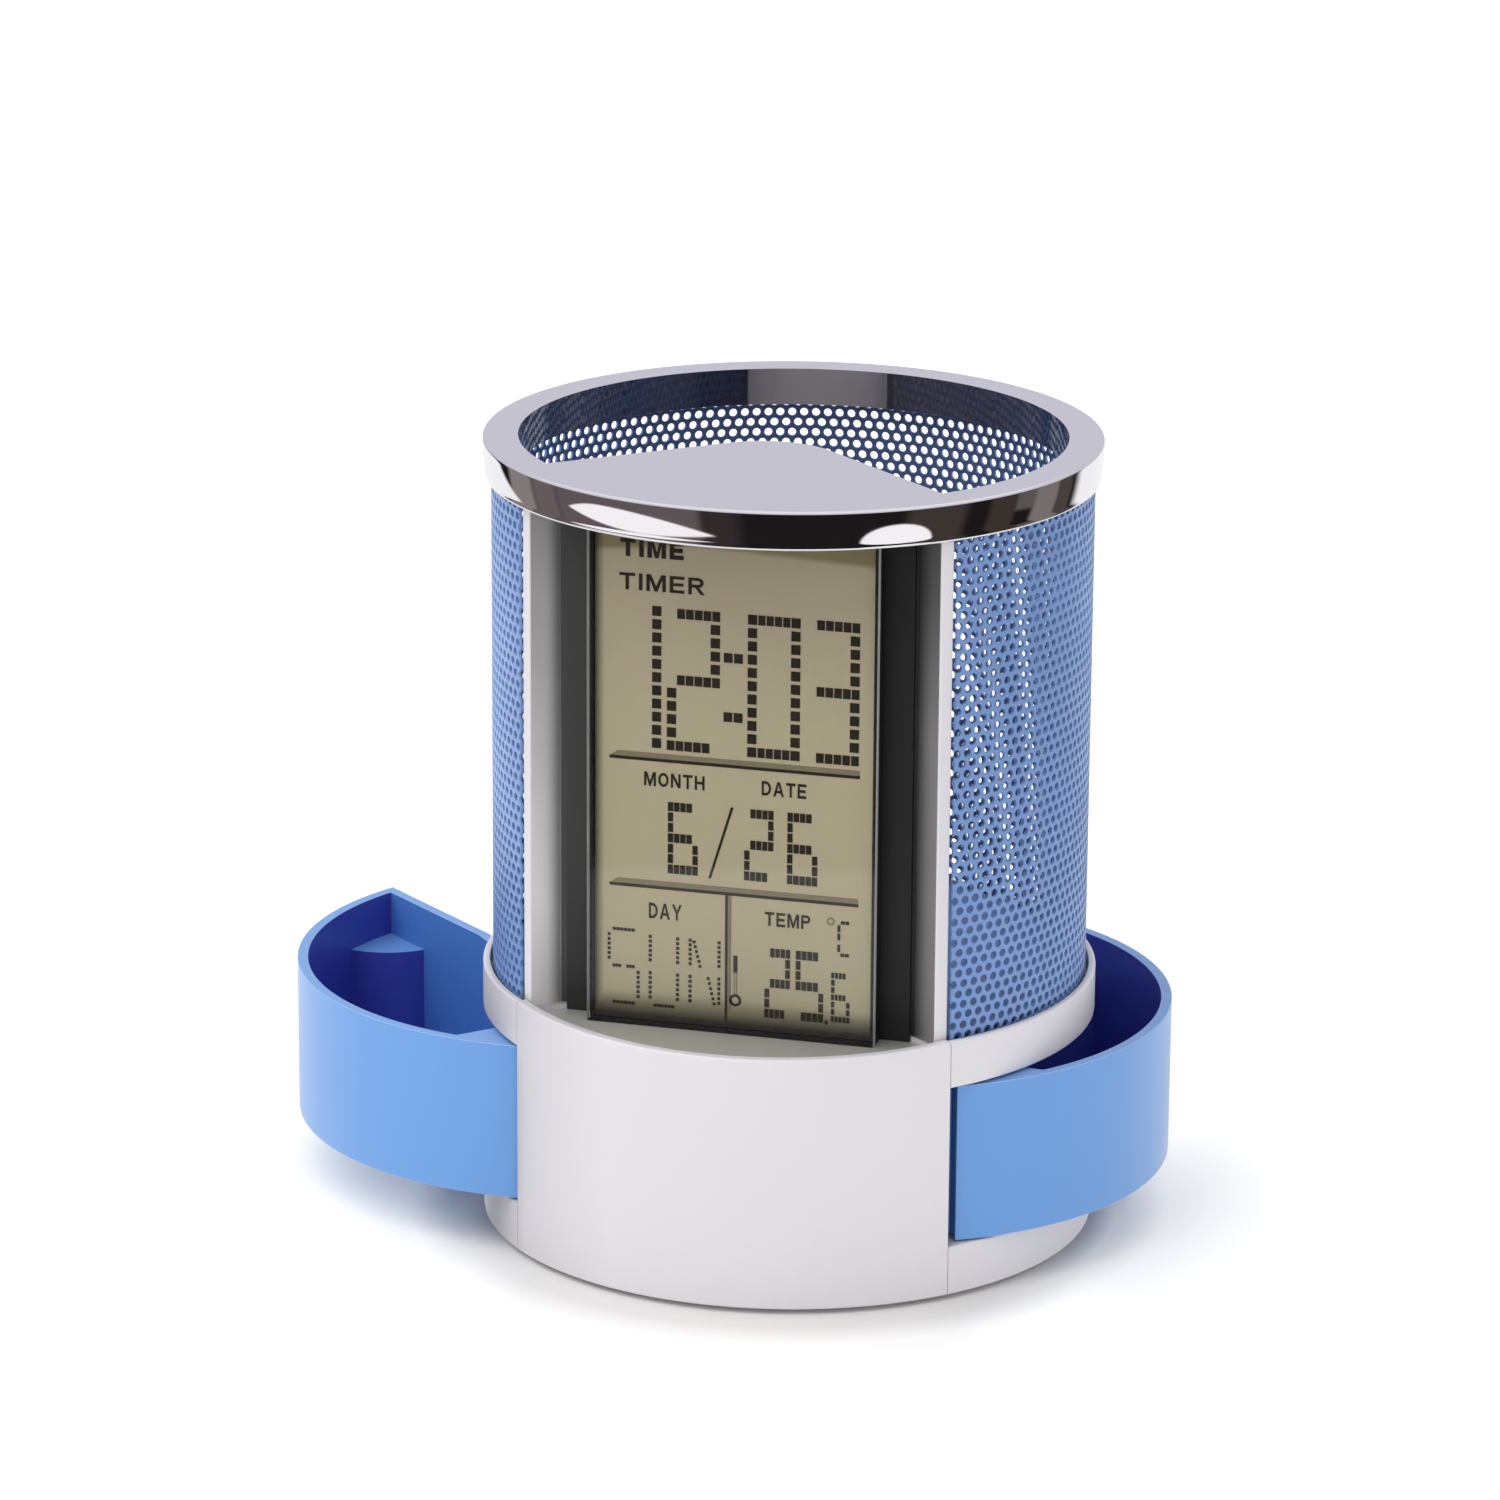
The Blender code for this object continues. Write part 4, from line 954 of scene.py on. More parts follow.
# ================================================================ clock housing
def housing():
    back_in_y, back_out_y = -25.9, -23.7

    def arm(inner, outer):
        side_in = (nose_side(10, inner), nose_side(40, inner))
        side_out = (nose_side(10, outer), nose_side(40, outer))
        x_bi = meet(side_in, ((0, back_in_y), (1, back_in_y)))[0]
        x_bo = meet(side_out, ((0, back_out_y), (1, back_out_y)))[0]
        f_in, f_out = nose_side(39.75, inner), nose_side(39.75, outer)
        return [(x_bi, back_in_y, 1.2), (*f_in, 0.28), (*f_out, 0.28), (x_bo, back_out_y, 0.5)]
    pts = arm(2.15, 0.15) + [(-x, y, r) for x, y, r in reversed(arm(1.6, -0.4))]
    body = prism(rounded(pts, 6), SILL, CASE_TOP)
    holes = bmesh.new()
    for x, z in ((-14.0, 105.8), (14.0, 105.8), (-14.0, 40.4), (14.0, 40.4)):
        prism_y(circle(x, z, 1.1, 24), -25.3, -20.0, holes)
    me = combine(body, [('DIFFERENCE', box(-16.8, 16.8, -28, -22, 42.2, 102.7)), ('DIFFERENCE', holes)])
    ob = piece("recess_frame", me, [SILVER, SILVER_RECESS_PAINTED_SHADE, RECESS_BACK], "base", ("clock_front_frame",), bevel=0.12,
               seg=2, angle=60, sharp=50)

    def rule(c, nrm):
        if nrm.y < -0.9 and abs(c.y - back_in_y) < 0.3:
            return 2
        s = abs(c.x) * NX + (c.y - NOSE_APEX_Y) * NY       # distance along the nose side
        # the side walls of the recess take the silver with painted shade
        if abs(nrm.z) < 0.5 and s < 39.3 and c.y < -24.2:
            return 1
        return 0
    paint(ob, rule)

    s_front = meet((nose_side(10, 0.15), nose_side(40, 0.15)), ((0, -23.4), (1, -23.4)))
    s_inner = meet((nose_side(10, 1.75), nose_side(40, 1.75)), ((0, -23.4), (1, -23.4)))
    out = [s_front] + nose_tip(0.15) + [(-s_front[0], s_front[1])]
    inn = [(s_inner[0], -30.0), s_inner] + nose_tip(1.75) + [(-s_inner[0], s_inner[1]), (-s_inner[0], -30.0)]
    posts = bmesh.new()
    holes = bmesh.new()
    for x, y in ((12.6, -17.0), (-12.6, -17.0)):
        prism(circle(x, y, 2.5), 36.0, 46.0, posts)
        prism(circle(x, y, 1.35, 24), 30.0, 44.6, holes)
    cavity = combine(prism(inn, 38.0, CASE_TOP - 1.6), [('DIFFERENCE', posts)])
    me = combine(prism(out, 36.4, CASE_TOP), [('DIFFERENCE', as_bmesh(cavity)), ('DIFFERENCE', holes),
                                               ('DIFFERENCE', box(-5, 5, -20.6, -10.0, 30, 40))])
    bpy.data.meshes.remove(cavity)
    piece("rear_shell", me, SILVER, "base", ("clock_rear_cover",), bevel=0.25, seg=3, angle=40, sharp=45)


housing()


# ================================================================ display
def display():
    z0, z1 = SILL + 0.02, 108.6
    lens = piece("clear_window", box(-20.1, 20.0, -30.7, -29.45, z0, z1), [CLEAR, LENS_EDGE, BEZEL_PAINTED_REFLECTION], "base",
                 ("display_lens",), bevel=0.12, seg=2)
    paint(lens, lambda c, nrm: 0 if abs(nrm.y) > 0.9 else 2 if abs(nrm.z) > 0.5 else 1)
    flange = box(-24.05, 24.05, -27.0, -26.2, z0, z1)
    me = combine(box(-20.0, 20.0, -29.4, -26.2, z0, z1),
                 [('UNION', flange), ('DIFFERENCE', box(-19.50, 19.22, -32.0, -25.0, z0 + 0.25, z1 - 0.9))])
    piece("black_display_frame", me, BEZEL_PAINTED_REFLECTION, "base", ("lcd_bezel",), bevel=0.14, seg=2)
    slab = box(-19.45, 19.17, -29.1, -27.3, z0 + 0.3, 107.6)
    piece("lcd_panel", slab, LCD_FACE_PAINTED_SHADE, "base", ("lcd_glass",), bevel=0.1, seg=2)

    dark, light = bmesh.new(), bmesh.new()
    front, back = -29.17, -29.09

    def tile(bm, x0, x1, za, zb):
        prism_y([(x0, za), (x1, za), (x1, zb), (x0, zb)], front, back, bm)

    def poly(bm, pts):
        prism_y(pts, front, back, bm)

    def bar(x0, x1, za, zb, n, gap):
        w = (x1 - x0 - (n - 1) * gap) / n
        for k in range(n):
            tile(dark, x0 + k * (w + gap), x0 + k * (w + gap) + w, za, zb)

    def stack(x0, x1, ztop, h, pitch, rows):
        for k in rows:
            tile(dark, x0, x1, ztop - k * pitch - h, ztop - k * pitch)

    # hours and minutes: eleven rows
    top, pitch, h = 93.85, 1.833, 1.34
    stack(-11.42, -10.16, top + 0.15, h, pitch, range(11))
    rows = [(top - k * pitch - h, top - k * pitch) for k in range(11)]

    def two(x0, x1, cw, n, gap, rows):
        m = len(rows) // 2
        bar(x0 + cw + 0.12, x1, *rows[0], n, gap)
        bar(x0 + cw + 0.12, x1, *rows[m], n, gap)
        bar(x0, x1 - cw - 0.12, *rows[-1], n, gap)
        for k in range(1, m):
            tile(dark, x1 - cw, x1, *rows[k])
            tile(dark, x0, x0 + cw, *rows[m + k])

    def six(x0, x1, cw, n, gap, rows):
        m = len(rows) // 2
        bar(x0, x1 - cw - 0.12, *rows[0], n, gap)
        bar(x0, x1 - cw - 0.12, *rows[m], n, gap)
        bar(x0, x1, *rows[-1], n + 1, gap)
        for k in range(1, m):
            tile(dark, x0, x0 + cw, *rows[k])
            tile(dark, x0, x0 + cw, *rows[m + k])
            tile(dark, x1 - cw, x1, *rows[m + k])

    two(-9.35, -2.05, 1.27, 5, 0.16, rows)
    for za in (87.0, 78.8):
        tile(dark, -1.5, -0.3, za, za + 1.3)
        tile(dark, -0.1, 1.12, za, za + 1.3)
    for k in range(11):
        tile(dark, 1.8, 3.05, *rows[k])
        tile(dark, 7.76, 9.02, *rows[k])
    for k in (0, 10):
        bar(3.22, 7.6, *rows[k], 4, 0.16)
    for k in (0, 5, 10):
        bar(11.3, 17.16, *rows[k], 5, 0.16)
    for k in (1, 2, 3, 4, 6, 7, 8, 9):
        tile(dark, 15.9, 17.16, *rows[k])

    # rules: dark line with a painted shadow strip above it, divider beside the thermometer with a painted shadow strip
    # beside it
    for z in (72.62, 54.72):
        tile(dark, -17.35, 17.35, z - 0.2, z + 0.22)
        poly(light, [(-17.2, z + 0.24), (17.3, z + 0.24), (17.3, z + 0.92), (-16.2, z + 0.92)])
    tile(dark, -1.12, -0.78, SILL + 0.4, 54.5)
    tile(light, -0.76, -0.3, 37.6, 54.5)

    # date
    t7, p7, h7 = 66.9, 1.462, 1.24
    r7 = [(t7 - k * p7 - h7, t7 - k * p7) for k in range(7)]
    six(-9.17, -5.0, 0.72, 4, 0.12, r7)
    two(1.48, 5.5, 0.72, 4, 0.12, r7)
    six(7.44, 11.6, 0.72, 4, 0.12, r7)
    poly(dark, [(-3.5, 56.7), (-3.15, 56.7), (-0.05, 66.9), (-0.4, 66.9)])

    # temperature
    t7, p7, h7 = 47.6, 1.44, 1.22
    r7 = [(t7 - k * p7 - h7, t7 - k * p7) for k in range(7)]
    two(4.42, 7.95, 0.66, 4, 0.12, r7)
    x0, x1, cw = 8.75, 12.6, 0.66
    bar(x0, x1 - cw - 0.1, *r7[0], 4, 0.12)
    bar(x0, x1 - cw - 0.1, *r7[3], 4, 0.12)
    bar(x0 + cw + 0.1, x1, *r7[6], 4, 0.12)
    for k in (1, 2):
        tile(dark, x0, x0 + cw, *r7[k])
        tile(dark, x1 - cw, x1, *r7[3 + k])
    tile(dark, 12.85, 13.25, 37.55, 38.15)
    t7, p7, h7 = 45.0, 1.03, 0.8
    r7 = [(t7 - k * p7 - h7, t7 - k * p7) for k in range(7)]
    six(13.7, 16.26, 0.46, 4, 0.12, r7)
    # degree mark and C
    ring_out, ring_in = circle(13.55, 52.2, 0.55, 20), circle(13.55, 52.2, 0.33, 20)
    for k in range(20):
        j = (k + 1) % 20
        poly(light, [ring_out[k], ring_out[j], ring_in[j], ring_in[k]])
    bar(14.95, 16.1, 51.9, 52.35, 2, 0.1)
    bar(14.95, 16.1, 47.35, 47.8, 2, 0.1)
    for k in range(2):
        tile(dark, 14.5, 14.88, 50.7 - k * 1.15 + 0.1, 51.75 - k * 1.15)
        tile(dark, 14.5, 14.88, 48.0, 49.0) if k else None
    # thermometer
    tile(dark, 0.06, 0.62, 43.7, 46.1)
    tile(light, 0.14, 0.24, 40.5, 43.7)
    tile(light, 0.46, 0.56, 40.5, 43.7)
    ring_out, ring_in = circle(0.34, 39.75, 0.86, 24), circle(0.34, 39.75, 0.5, 24)
    for k in range(24):
        j = (k + 1) % 24
        poly(dark, [ring_out[k], ring_out[j], ring_in[j], ring_in[k]])

    # weekday in fine dots
    def dots(x, ztop, zbot, n, w=0.42):
        p = (ztop - zbot) / n
        for k in range(n):
            tile(dark, x - w / 2, x + w / 2, ztop - k * p - p * 0.62, ztop - k * p)

    def dash(x0, x1, z, n, hh=0.42):
        p = (x1 - x0) / n
        for k in range(n):
            tile(dark, x0 + k * p, x0 + k * p + p * 0.86, z - hh / 2, z + hh / 2)

    dash(-16.9, -13.7, 48.35, 6)
    dots(-17.4, 47.75, 43.7, 6)
    dash(-16.9, -15.65, 43.15, 3)
    dash(-14.95, -13.75, 43.15, 3)
    dots(-13.3, 42.6, 38.5, 6)
    dash(-16.9, -13.7, 37.95, 6)
    for x in (-11.6, -7.75):
        dots(x, 47.9, 43.9, 6)
        dots(x, 42.75, 38.6, 6)
    dash(-11.1, -8.15, 37.95, 6)
    for x in (-6.0, -1.95):
        dots(x, 47.9, 43.9, 6)
        dots(x, 42.75, 38.6, 6)
    for (xa, za), (xb, zb) in (((-5.45, 47.7), (-4.5, 43.9)), ((-3.45, 42.7), (-2.5, 38.7))):
        for k in range(6):
            x, z = xa + (xb - xa) * k / 5.6, za + (zb - za) * k / 5.6
            tile(dark, x - 0.2, x + 0.2, z - 0.4, z)

    # plain function words in a simple block letter, drawn as strokes of width s in a cell of height 1
    widths = {"T": 0.80, "I": 0.0, "M": 0.98, "E": 0.74, "R": 0.82, "O": 0.86, "N": 0.80, "H": 0.80, "D": 0.80, "A": 0.90,
              "Y": 0.88, "P": 0.76}

    def rect(ua, ub, va, vb):
        return [(ua, va), (ub, va), (ub, vb), (ua, vb)]

    def strip(outer, inner):
        return [[outer[k], outer[k + 1], inner[k + 1], inner[k]] for k in range(len(outer) - 1)]

    def bowl(w, s_, va, vb):
        """Half-round of a D, P or R between heights va and vb."""
        a_ = (vb - va) / 2
        r_ = min(a_, w * 0.62)
        outer, inner = [(s_, va)], [(s_, va + s_)]
        for k in range(9):
            q = -pi / 2 + pi * k / 8
            outer.append((w - r_ + r_ * cos(q), (va + vb) / 2 + a_ * sin(q)))
            inner.append((w - r_ + (r_ - s_) * cos(q), (va + vb) / 2 + (a_ - s_) * sin(q)))
        return strip(outer + [(s_, vb)], inner + [(s_, vb - s_)])

    def glyph(c, w, t):
        if c == "T":
            return [rect(0, w, 1 - t, 1), rect(w / 2 - t / 2, w / 2 + t / 2, 0, 1 - t)]
        if c == "I":
            return [rect(0, w, 0, 1)]
        if c == "E":
            return [rect(0, t, 0, 1), rect(t, w, 0, t), rect(t, w * 0.93, 0.5 - t / 2, 0.5 + t / 2), rect(t, w, 1 - t, 1)]
        if c == "H":
            return [rect(0, t, 0, 1), rect(w - t, w, 0, 1), rect(t, w - t, 0.5 - t / 2, 0.5 + t / 2)]
        if c == "M":
            return [[(0, 0), (t, 0), (t, 0.72), (w / 2 - t * 0.42, 0), (w / 2 + t * 0.42, 0), (w - t, 0.72), (w - t, 0), (w, 0),
                     (w, 1), (w - t * 1.3, 1), (w / 2, 0.32), (t * 1.3, 1), (0, 1)]]
        if c == "N":
            return [[(0, 0), (t, 0), (t, 0.70), (w - t * 1.15, 0), (w, 0), (w, 1), (w - t, 1), (w - t, 0.30), (t * 1.15, 1), (0, 1)]]
        if c == "Y":
            return [[(w / 2 - t / 2, 0), (w / 2 + t / 2, 0), (w / 2 + t / 2, 0.42), (w, 1), (w - t * 1.2, 1), (w / 2, 0.58),
                     (t * 1.2, 1), (0, 1), (w / 2 - t / 2, 0.42)]]
        if c == "A":
            def leg(v):
                return t * 1.1 + (w / 2 - t * 1.1) * v / 0.82
            va, vb = 0.24, 0.24 + t * 0.9
            return [[(0, 0), (t * 1.1, 0), (w / 2, 0.82), (w - t * 1.1, 0), (w, 0), (w / 2 + t * 0.6, 1), (w / 2 - t * 0.6, 1)],
                    [(leg(va), va), (w - leg(va), va), (w - leg(vb), vb), (leg(vb), vb)]]
        if c == "O":
            outer = [(w / 2 + w / 2 * cos(2 * pi * k / 20), 0.5 + 0.5 * sin(2 * pi * k / 20)) for k in range(21)]
            inner = [(w / 2 + (w / 2 - t) * cos(2 * pi * k / 20), 0.5 + (0.5 - t) * sin(2 * pi * k / 20)) for k in range(21)]
            return strip(outer, inner)
        out = [rect(0, t, 0, 1)]
        if c == "D":
            return out + bowl(w, t, 0.0, 1.0)
        out += bowl(w * (0.94 if c == "R" else 1.0), t, 0.42, 1.0)
        if c == "R":
            out.append([(w - t * 1.15, 0), (w, 0), (w * 0.5 + t * 0.75, 0.42), (w * 0.5 - t * 0.4, 0.42)])
        return out

    def word(text, x0, x1, z0_, h_, t):
        gap = 0.20
        sizes = [widths[c] or t for c in text]
        k = (x1 - x0) / (sum(sizes) + gap * (len(text) - 1))
        u0 = 0.0
        for c, w in zip(text, sizes):
            for pts in glyph(c, w, t):
                poly(dark, [(x0 + (u0 + u) * k, z0_ + v * h_) for u, v in pts])
            u0 += w + gap

    word("TIME", -15.85, -7.1, 100.6, 2.45, 0.235)
    word("TIMER", -16.0, -4.2, 96.0, 2.3, 0.17)
    word("MONTH", -12.5, -4.1, 68.95, 1.95, 0.175)
    word("DATE", 3.85, 10.0, 69.0, 2.0, 0.175)
    word("DAY", -11.8, -7.2, 50.3, 2.2, 0.175)
    word("TEMP", 4.4, 10.7, 50.75, 1.95, 0.175)
    bmesh.ops.recalc_face_normals(dark, faces=dark.faces)
    bmesh.ops.recalc_face_normals(light, faces=light.faces)
    piece("lcd_segments", dark, LCD_INK, "base", weight=False)
    piece("lcd_pale_print_and_painted_shades", light, LCD_PALE_PRINT_AND_PAINTED_SHADE, "base", weight=False)


display()


# ================================================================ underside pieces
def underside():
    # cover plate with counterbores, button holes and a battery opening
    screws = [(33.5, 2.0), (-33.5, 2.0), (0.0, 34.0)]
    prof = rounded([(0, 0.8), (38.6, 0.8, 0.3), (38.6, 2.3), (0, 2.3)], 4)
    bosses, holes, bores, notch = bmesh.new(), bmesh.new(), bmesh.new(), bmesh.new()
    for x, y in screws:
        prism(circle(x, y, 3.3), 1.5, 3.3, bosses)
        prism(circle(x, y, 1.3, 24), 0, 5, holes)
        prism(circle(x, y, 2.3, 32), 0, 2.3, bores)
    for k in range(4):
        prism(circle(-12.0 + 8.0 * k, 17.0, 2.5, 32), 0, 5, holes)
    prism(circle(0, -14.0, 12.1, 96), 0, 5, holes)
    for a in (90.0, 210.0, 330.0):
        c0, c1 = radians(a + 35), radians(a + 55)
        prism([(r * cos(c), -14.0 + r * sin(c)) for r, c in ((11.0, c0), (13.7, c0), (13.7, c1), (11.0, c1))], 0, 5, notch)
    me = combine(revolve(prof, n=160), [('UNION', bosses), ('DIFFERENCE', holes), ('DIFFERENCE', bores),
                                        ('DIFFERENCE', notch)])
    piece("cover_plate", me, SILVER, "base", ("bottom_cover",), bevel=0.12, seg=2, angle=40, sharp=45)

    # battery door
    prof = rounded([(0, 0.95), (11.8, 0.95, 0.3), (11.8, 3.3), (10.5, 3.3), (10.5, 2.2), (0, 2.2)], 4)
    lugs = bmesh.new()
    for a in (90.0, 210.0, 330.0):
        c0, c1 = radians(a - 8), radians(a + 8)
        prism([(r * cos(c), -14.0 + r * sin(c)) for r, c in ((11.1, c0), (13.3, c0), (13.3, c1), (11.1, c1))], 2.6, 3.2, lugs)
    slot = rounded([(-8, -14.9, 0.85), (8, -14.9, 0.85), (8, -13.1, 0.85), (-8, -13.1, 0.85)], 6)
    me = combine(revolve(prof, n=96, cx=0, cy=-14.0), [('UNION', lugs), ('DIFFERENCE', prism(slot, 0, 1.5))])
    piece("coin_cell_door", me, SILVER, "battery_door", ("battery_door",), bevel=0.1, seg=2, angle=40, sharp=45)

    # push buttons with a dished face
    for k, nm in enumerate(("mode_button", "set_button", "up_button", "down_button")):
        prof = [(0, 1.12), (1.1, 1.08)] + rounded([(1.4, 1.0, 0), (2.2, 1.0, 0.3), (2.2, 2.6), (3.0, 2.6), (3.0, 3.2),
                                                    (0, 3.2)], 4)
        bm = revolve(prof, n=40, cx=-12.0 + 8.0 * k, cy=17.0)
        piece(nm + "_cap", bm, BLACK, nm, (nm,), bevel=0.06, seg=2, angle=50, sharp=50)

    # rubber feet
    for nm, x, y in (("foot_front_left", -22.6, -22.6), ("foot_front_right", 22.6, -22.6),
                     ("foot_rear_left", -22.6, 22.6), ("foot_rear_right", 22.6, 22.6)):
        bm = revolve(rounded([(0, 0), (4.0, 0, 0.2), (4.0, 0.5, 0.06), (0, 0.5)], 5), n=48, cx=x, cy=y)
        piece(nm + "_pad", bm, RUBBER, "base", (nm,), sharp=50)

    # cover screws with a cross recess
    for nm, (x, y) in zip(("cover_screw_right", "cover_screw_left", "cover_screw_rear"), screws):
        prof = rounded([(0, 1.0), (1.5, 1.0, 0.3), (2.0, 1.45, 0.3), (2.0, 2.0), (1.0, 2.0), (1.0, 6.0), (0, 6.6)], 4)
        cross = bmesh.new()
        box(x - 1.05, x + 1.05, y - 0.22, y + 0.22, 0.5, 1.62, cross)
        other = box(x - 0.22, x + 0.22, y - 1.05, y + 1.05, 0.5, 1.62)
        me = combine(revolve(prof, n=32, cx=x, cy=y), [('DIFFERENCE', cross), ('DIFFERENCE', other)])
        piece(nm + "_head", me, STEEL, "base", (nm,), sharp=40, weight=False)


underside()

# ================================================================ finishes for the nodes that stay as they are
KEEP = {
    STEEL: ["left_pivot_pin", "right_pivot_pin", "coin_cell", "timing_crystal", "base_screw_front_left",
            "base_screw_front_right", "base_screw_rear", "housing_screw_left", "housing_screw_right",
            "board_screw_upper_left", "board_screw_upper_right", "board_screw_lower_left", "board_screw_lower_right"],
    BRASS: ["battery_contact_negative", "battery_contact_positive"],
    BOARD: ["main_board", "button_board"],
    SILICONE: ["rubber_keypad", "zebra_strip_lower", "zebra_strip_upper"],
    BLACK: ["driver_chip", "buzzer", "temperature_sensor"],
    FOIL: ["lcd_reflector"],
    RIBBON: ["ribbon_cable"],
}
for mat, names in KEEP.items():
    for nm in names:
        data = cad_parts[nm].data
        data.materials.clear()
        data.materials.append(mat)


# ================================================================ studio
def studio():
    bm = bmesh.new()
    box(-4000, 4000, -4000, 4000, -2.0, 0.0, bm)
    me = bpy.data.meshes.new("studio_floor")
    bmesh.ops.recalc_face_normals(bm, faces=bm.faces)
    bm.to_mesh(me)
    bm.free()
    me.transform(Matrix.Scale(0.001, 4))
    floor = bpy.data.objects.new("studio_floor", me)
    scene.collection.objects.link(floor)
    m = bpy.data.materials.new("white_table")
    m.use_nodes = True
    n = Nodes(m.node_tree)
    b = m.node_tree.nodes["Principled BSDF"]
    place = n.new("ShaderNodeTexCoord").outputs["Object"]
    t = n.new("ShaderNodeTexNoise")
    t.inputs["Scale"].default_value = 8.0
    n.link(place, t.inputs["Vector"])
    n.link(n.mix(n.ramp(t.outputs["Fac"], 0.3, 0.7), (0.695, 0.682, 0.672), (0.705, 0.692, 0.682)), b.inputs["Base Color"])
    b.inputs["Roughness"].default_value = 1.0
    b.inputs["Specular IOR Level"].default_value = 0.0
    # painted light: the sheet glows more and more away from the object, so that it runs out into the white ground, and
    # glows in two patches beside the base, at the left front and at the right, to lighten the shadows there
    sep = n.new("ShaderNodeSeparateXYZ")
    n.link(place, sep.inputs[0])
    fx, fy = sep.outputs[0], sep.outputs[1]

    own = n.math('SQRT', n.math('ADD', n.math('MULTIPLY', fx, fx), n.math('MULTIPLY', fy, fy)))
    bay = n.math('SUBTRACT', n.ramp(fx, 0.034, 0.046, 0.0, 0.19), n.ramp(fx, 0.046, 0.054, 0.0, 0.07))
    left = n.math('MULTIPLY', n.math('MULTIPLY', n.ramp(fx, -0.026, -0.034), n.ramp(fy, -0.004, -0.018)),
                  n.math('SUBTRACT', n.ramp(own, 0.0430, 0.0465, 0.0, 0.085), n.ramp(own, 0.058, 0.075, 0.0, 0.045)))
    glow = n.math('ADD', n.math('ADD', n.math('ADD', left, n.ramp(own, 0.0470, 0.053, 0.0, 0.20)), n.ramp(own, 0.053, 0.075, 0.0, 0.13)),
                  n.math('ADD', n.ramp(own, 0.075, 0.30, 0.0, 0.16), n.math('MULTIPLY', bay, n.ramp(own, 0.0430, 0.0460))))
    b.inputs["Emission Color"].default_value = (1.0, 1.0, 1.0, 1.0)
    n.link(glow, b.inputs["Emission Strength"])
    me.materials.append(m)
    floor.visible_glossy = False

    # the bright sheet of table around the object, for reflections only
    me = bpy.data.meshes.new("near_table")
    bm = bmesh.new()
    prism(circle(0, 0, 212.0, 96), -0.5, 0.02, bm)
    bmesh.ops.recalc_face_normals(bm, faces=bm.faces)
    bm.to_mesh(me)
    bm.free()
    me.transform(Matrix.Scale(0.001, 4))
    near = bpy.data.objects.new("near_table", me)
    scene.collection.objects.link(near)
    m = bpy.data.materials.new("lit_table")
    m.use_nodes = True
    n = Nodes(m.node_tree)
    b = m.node_tree.nodes["Principled BSDF"]
    n.link(n.mix(n.ramp(n.new("ShaderNodeTexNoise").outputs["Fac"], 0.3, 0.7), (0.94, 0.93, 0.95), (0.96, 0.95, 0.97)),
           b.inputs["Emission Color"])
    b.inputs["Base Color"].default_value = (0.0, 0.0, 0.0, 1.0)
    b.inputs["Specular IOR Level"].default_value = 0.0
    b.inputs["Emission Strength"].default_value = 1.0
    me.materials.append(m)
    for flag in ("visible_camera", "visible_diffuse", "visible_shadow", "visible_transmission", "visible_volume_scatter"):
        setattr(near, flag, False)

    # surroundings: white for the camera, a soft tent for matt surfaces, a lit room for shiny ones
    world = bpy.data.worlds.new("studio")
    scene.world = world
    world.use_nodes = True
    nt = world.node_tree
    nt.nodes.clear()
    n = Nodes(nt)
    out = n.new("ShaderNodeOutputWorld")
    bg_cam, bg_diff, bg_gloss = (n.new("ShaderNodeBackground") for _ in range(3))
    bg_cam.inputs["Color"].default_value = (1, 1, 1, 1)
    bg_cam.inputs["Strength"].default_value = 1.0
    direction = n.new("ShaderNodeTexCoord").outputs["Generated"]
    sep = n.new("ShaderNodeSeparateXYZ")
    n.link(direction, sep.inputs[0])
    x, y, z = sep.outputs
    el = n.math('MULTIPLY', n.math('ARCSINE', z), 180.0 / pi)
    a = radians(15.07)
    fwd = n.math('SUBTRACT', n.math('MULTIPLY', x, sin(a)), n.math('MULTIPLY', y, cos(a)))
    side = n.math('ADD', n.math('MULTIPLY', x, cos(a)), n.math('MULTIPLY', y, sin(a)))
    az = n.math('MULTIPLY', n.math('ARCTAN2', side, fwd), 180.0 / pi)      # 0 in front of the clock, + to the right

    # matt surfaces
    bg_diff.inputs["Color"].default_value = (1.0, 1.0, 1.0, 1)
    n.link(n.math('ADD', 0.94, n.math('MULTIPLY', side, -0.09)), bg_diff.inputs["Strength"])

    # shiny surfaces: a bright ceiling, a dim room with a few grey upright screens
    sky = n.mix(n.ramp(el, 24.0, 48.0, smooth=True), (0.62, 0.605, 0.69), (0.86, 0.85, 0.88))
    dark = (0.0135, 0.0105, 0.011)
    low = n.mix(n.ramp(el, -46.0, -38.0, smooth=True), (1.0, 1.0, 1.0), dark)

    def screen(base, lo, hi, soft, colour, el_lo=-40.0, el_hi=-36.0):
        k = n.math('MULTIPLY', n.ramp(az, lo - soft, lo + soft, smooth=True), n.ramp(az, hi + soft, hi - soft, smooth=True))
        return n.mix(n.math('MULTIPLY', k, n.ramp(el, el_lo, el_hi)), base, colour)

    low = screen(low, -130.0, -113.0, 2.0, (0.25, 0.215, 0.21))
    low = screen(low, -113.0, -98.0, 3.0, (0.15, 0.12, 0.12))
    low = screen(low, -98.0, -34.0, 2.0, (0.125, 0.10, 0.105))
    low = screen(low, -34.0, -20.0, 4.0, (0.035, 0.027, 0.027))
    low = screen(low, 43.0, 67.0, 3.0, (0.052, 0.040, 0.035))
    low = screen(low, 78.0, 91.0, 2.0, (0.048, 0.036, 0.030))
    low = screen(low, 91.0, 101.0, 1.5, (0.115, 0.10, 0.10), -20.5, -19.0)
    low = screen(low, 101.0, 116.0, 2.0, (0.21, 0.18, 0.175))
    low = screen(low, 116.0, 126.0, 2.0, (0.075, 0.06, 0.056))
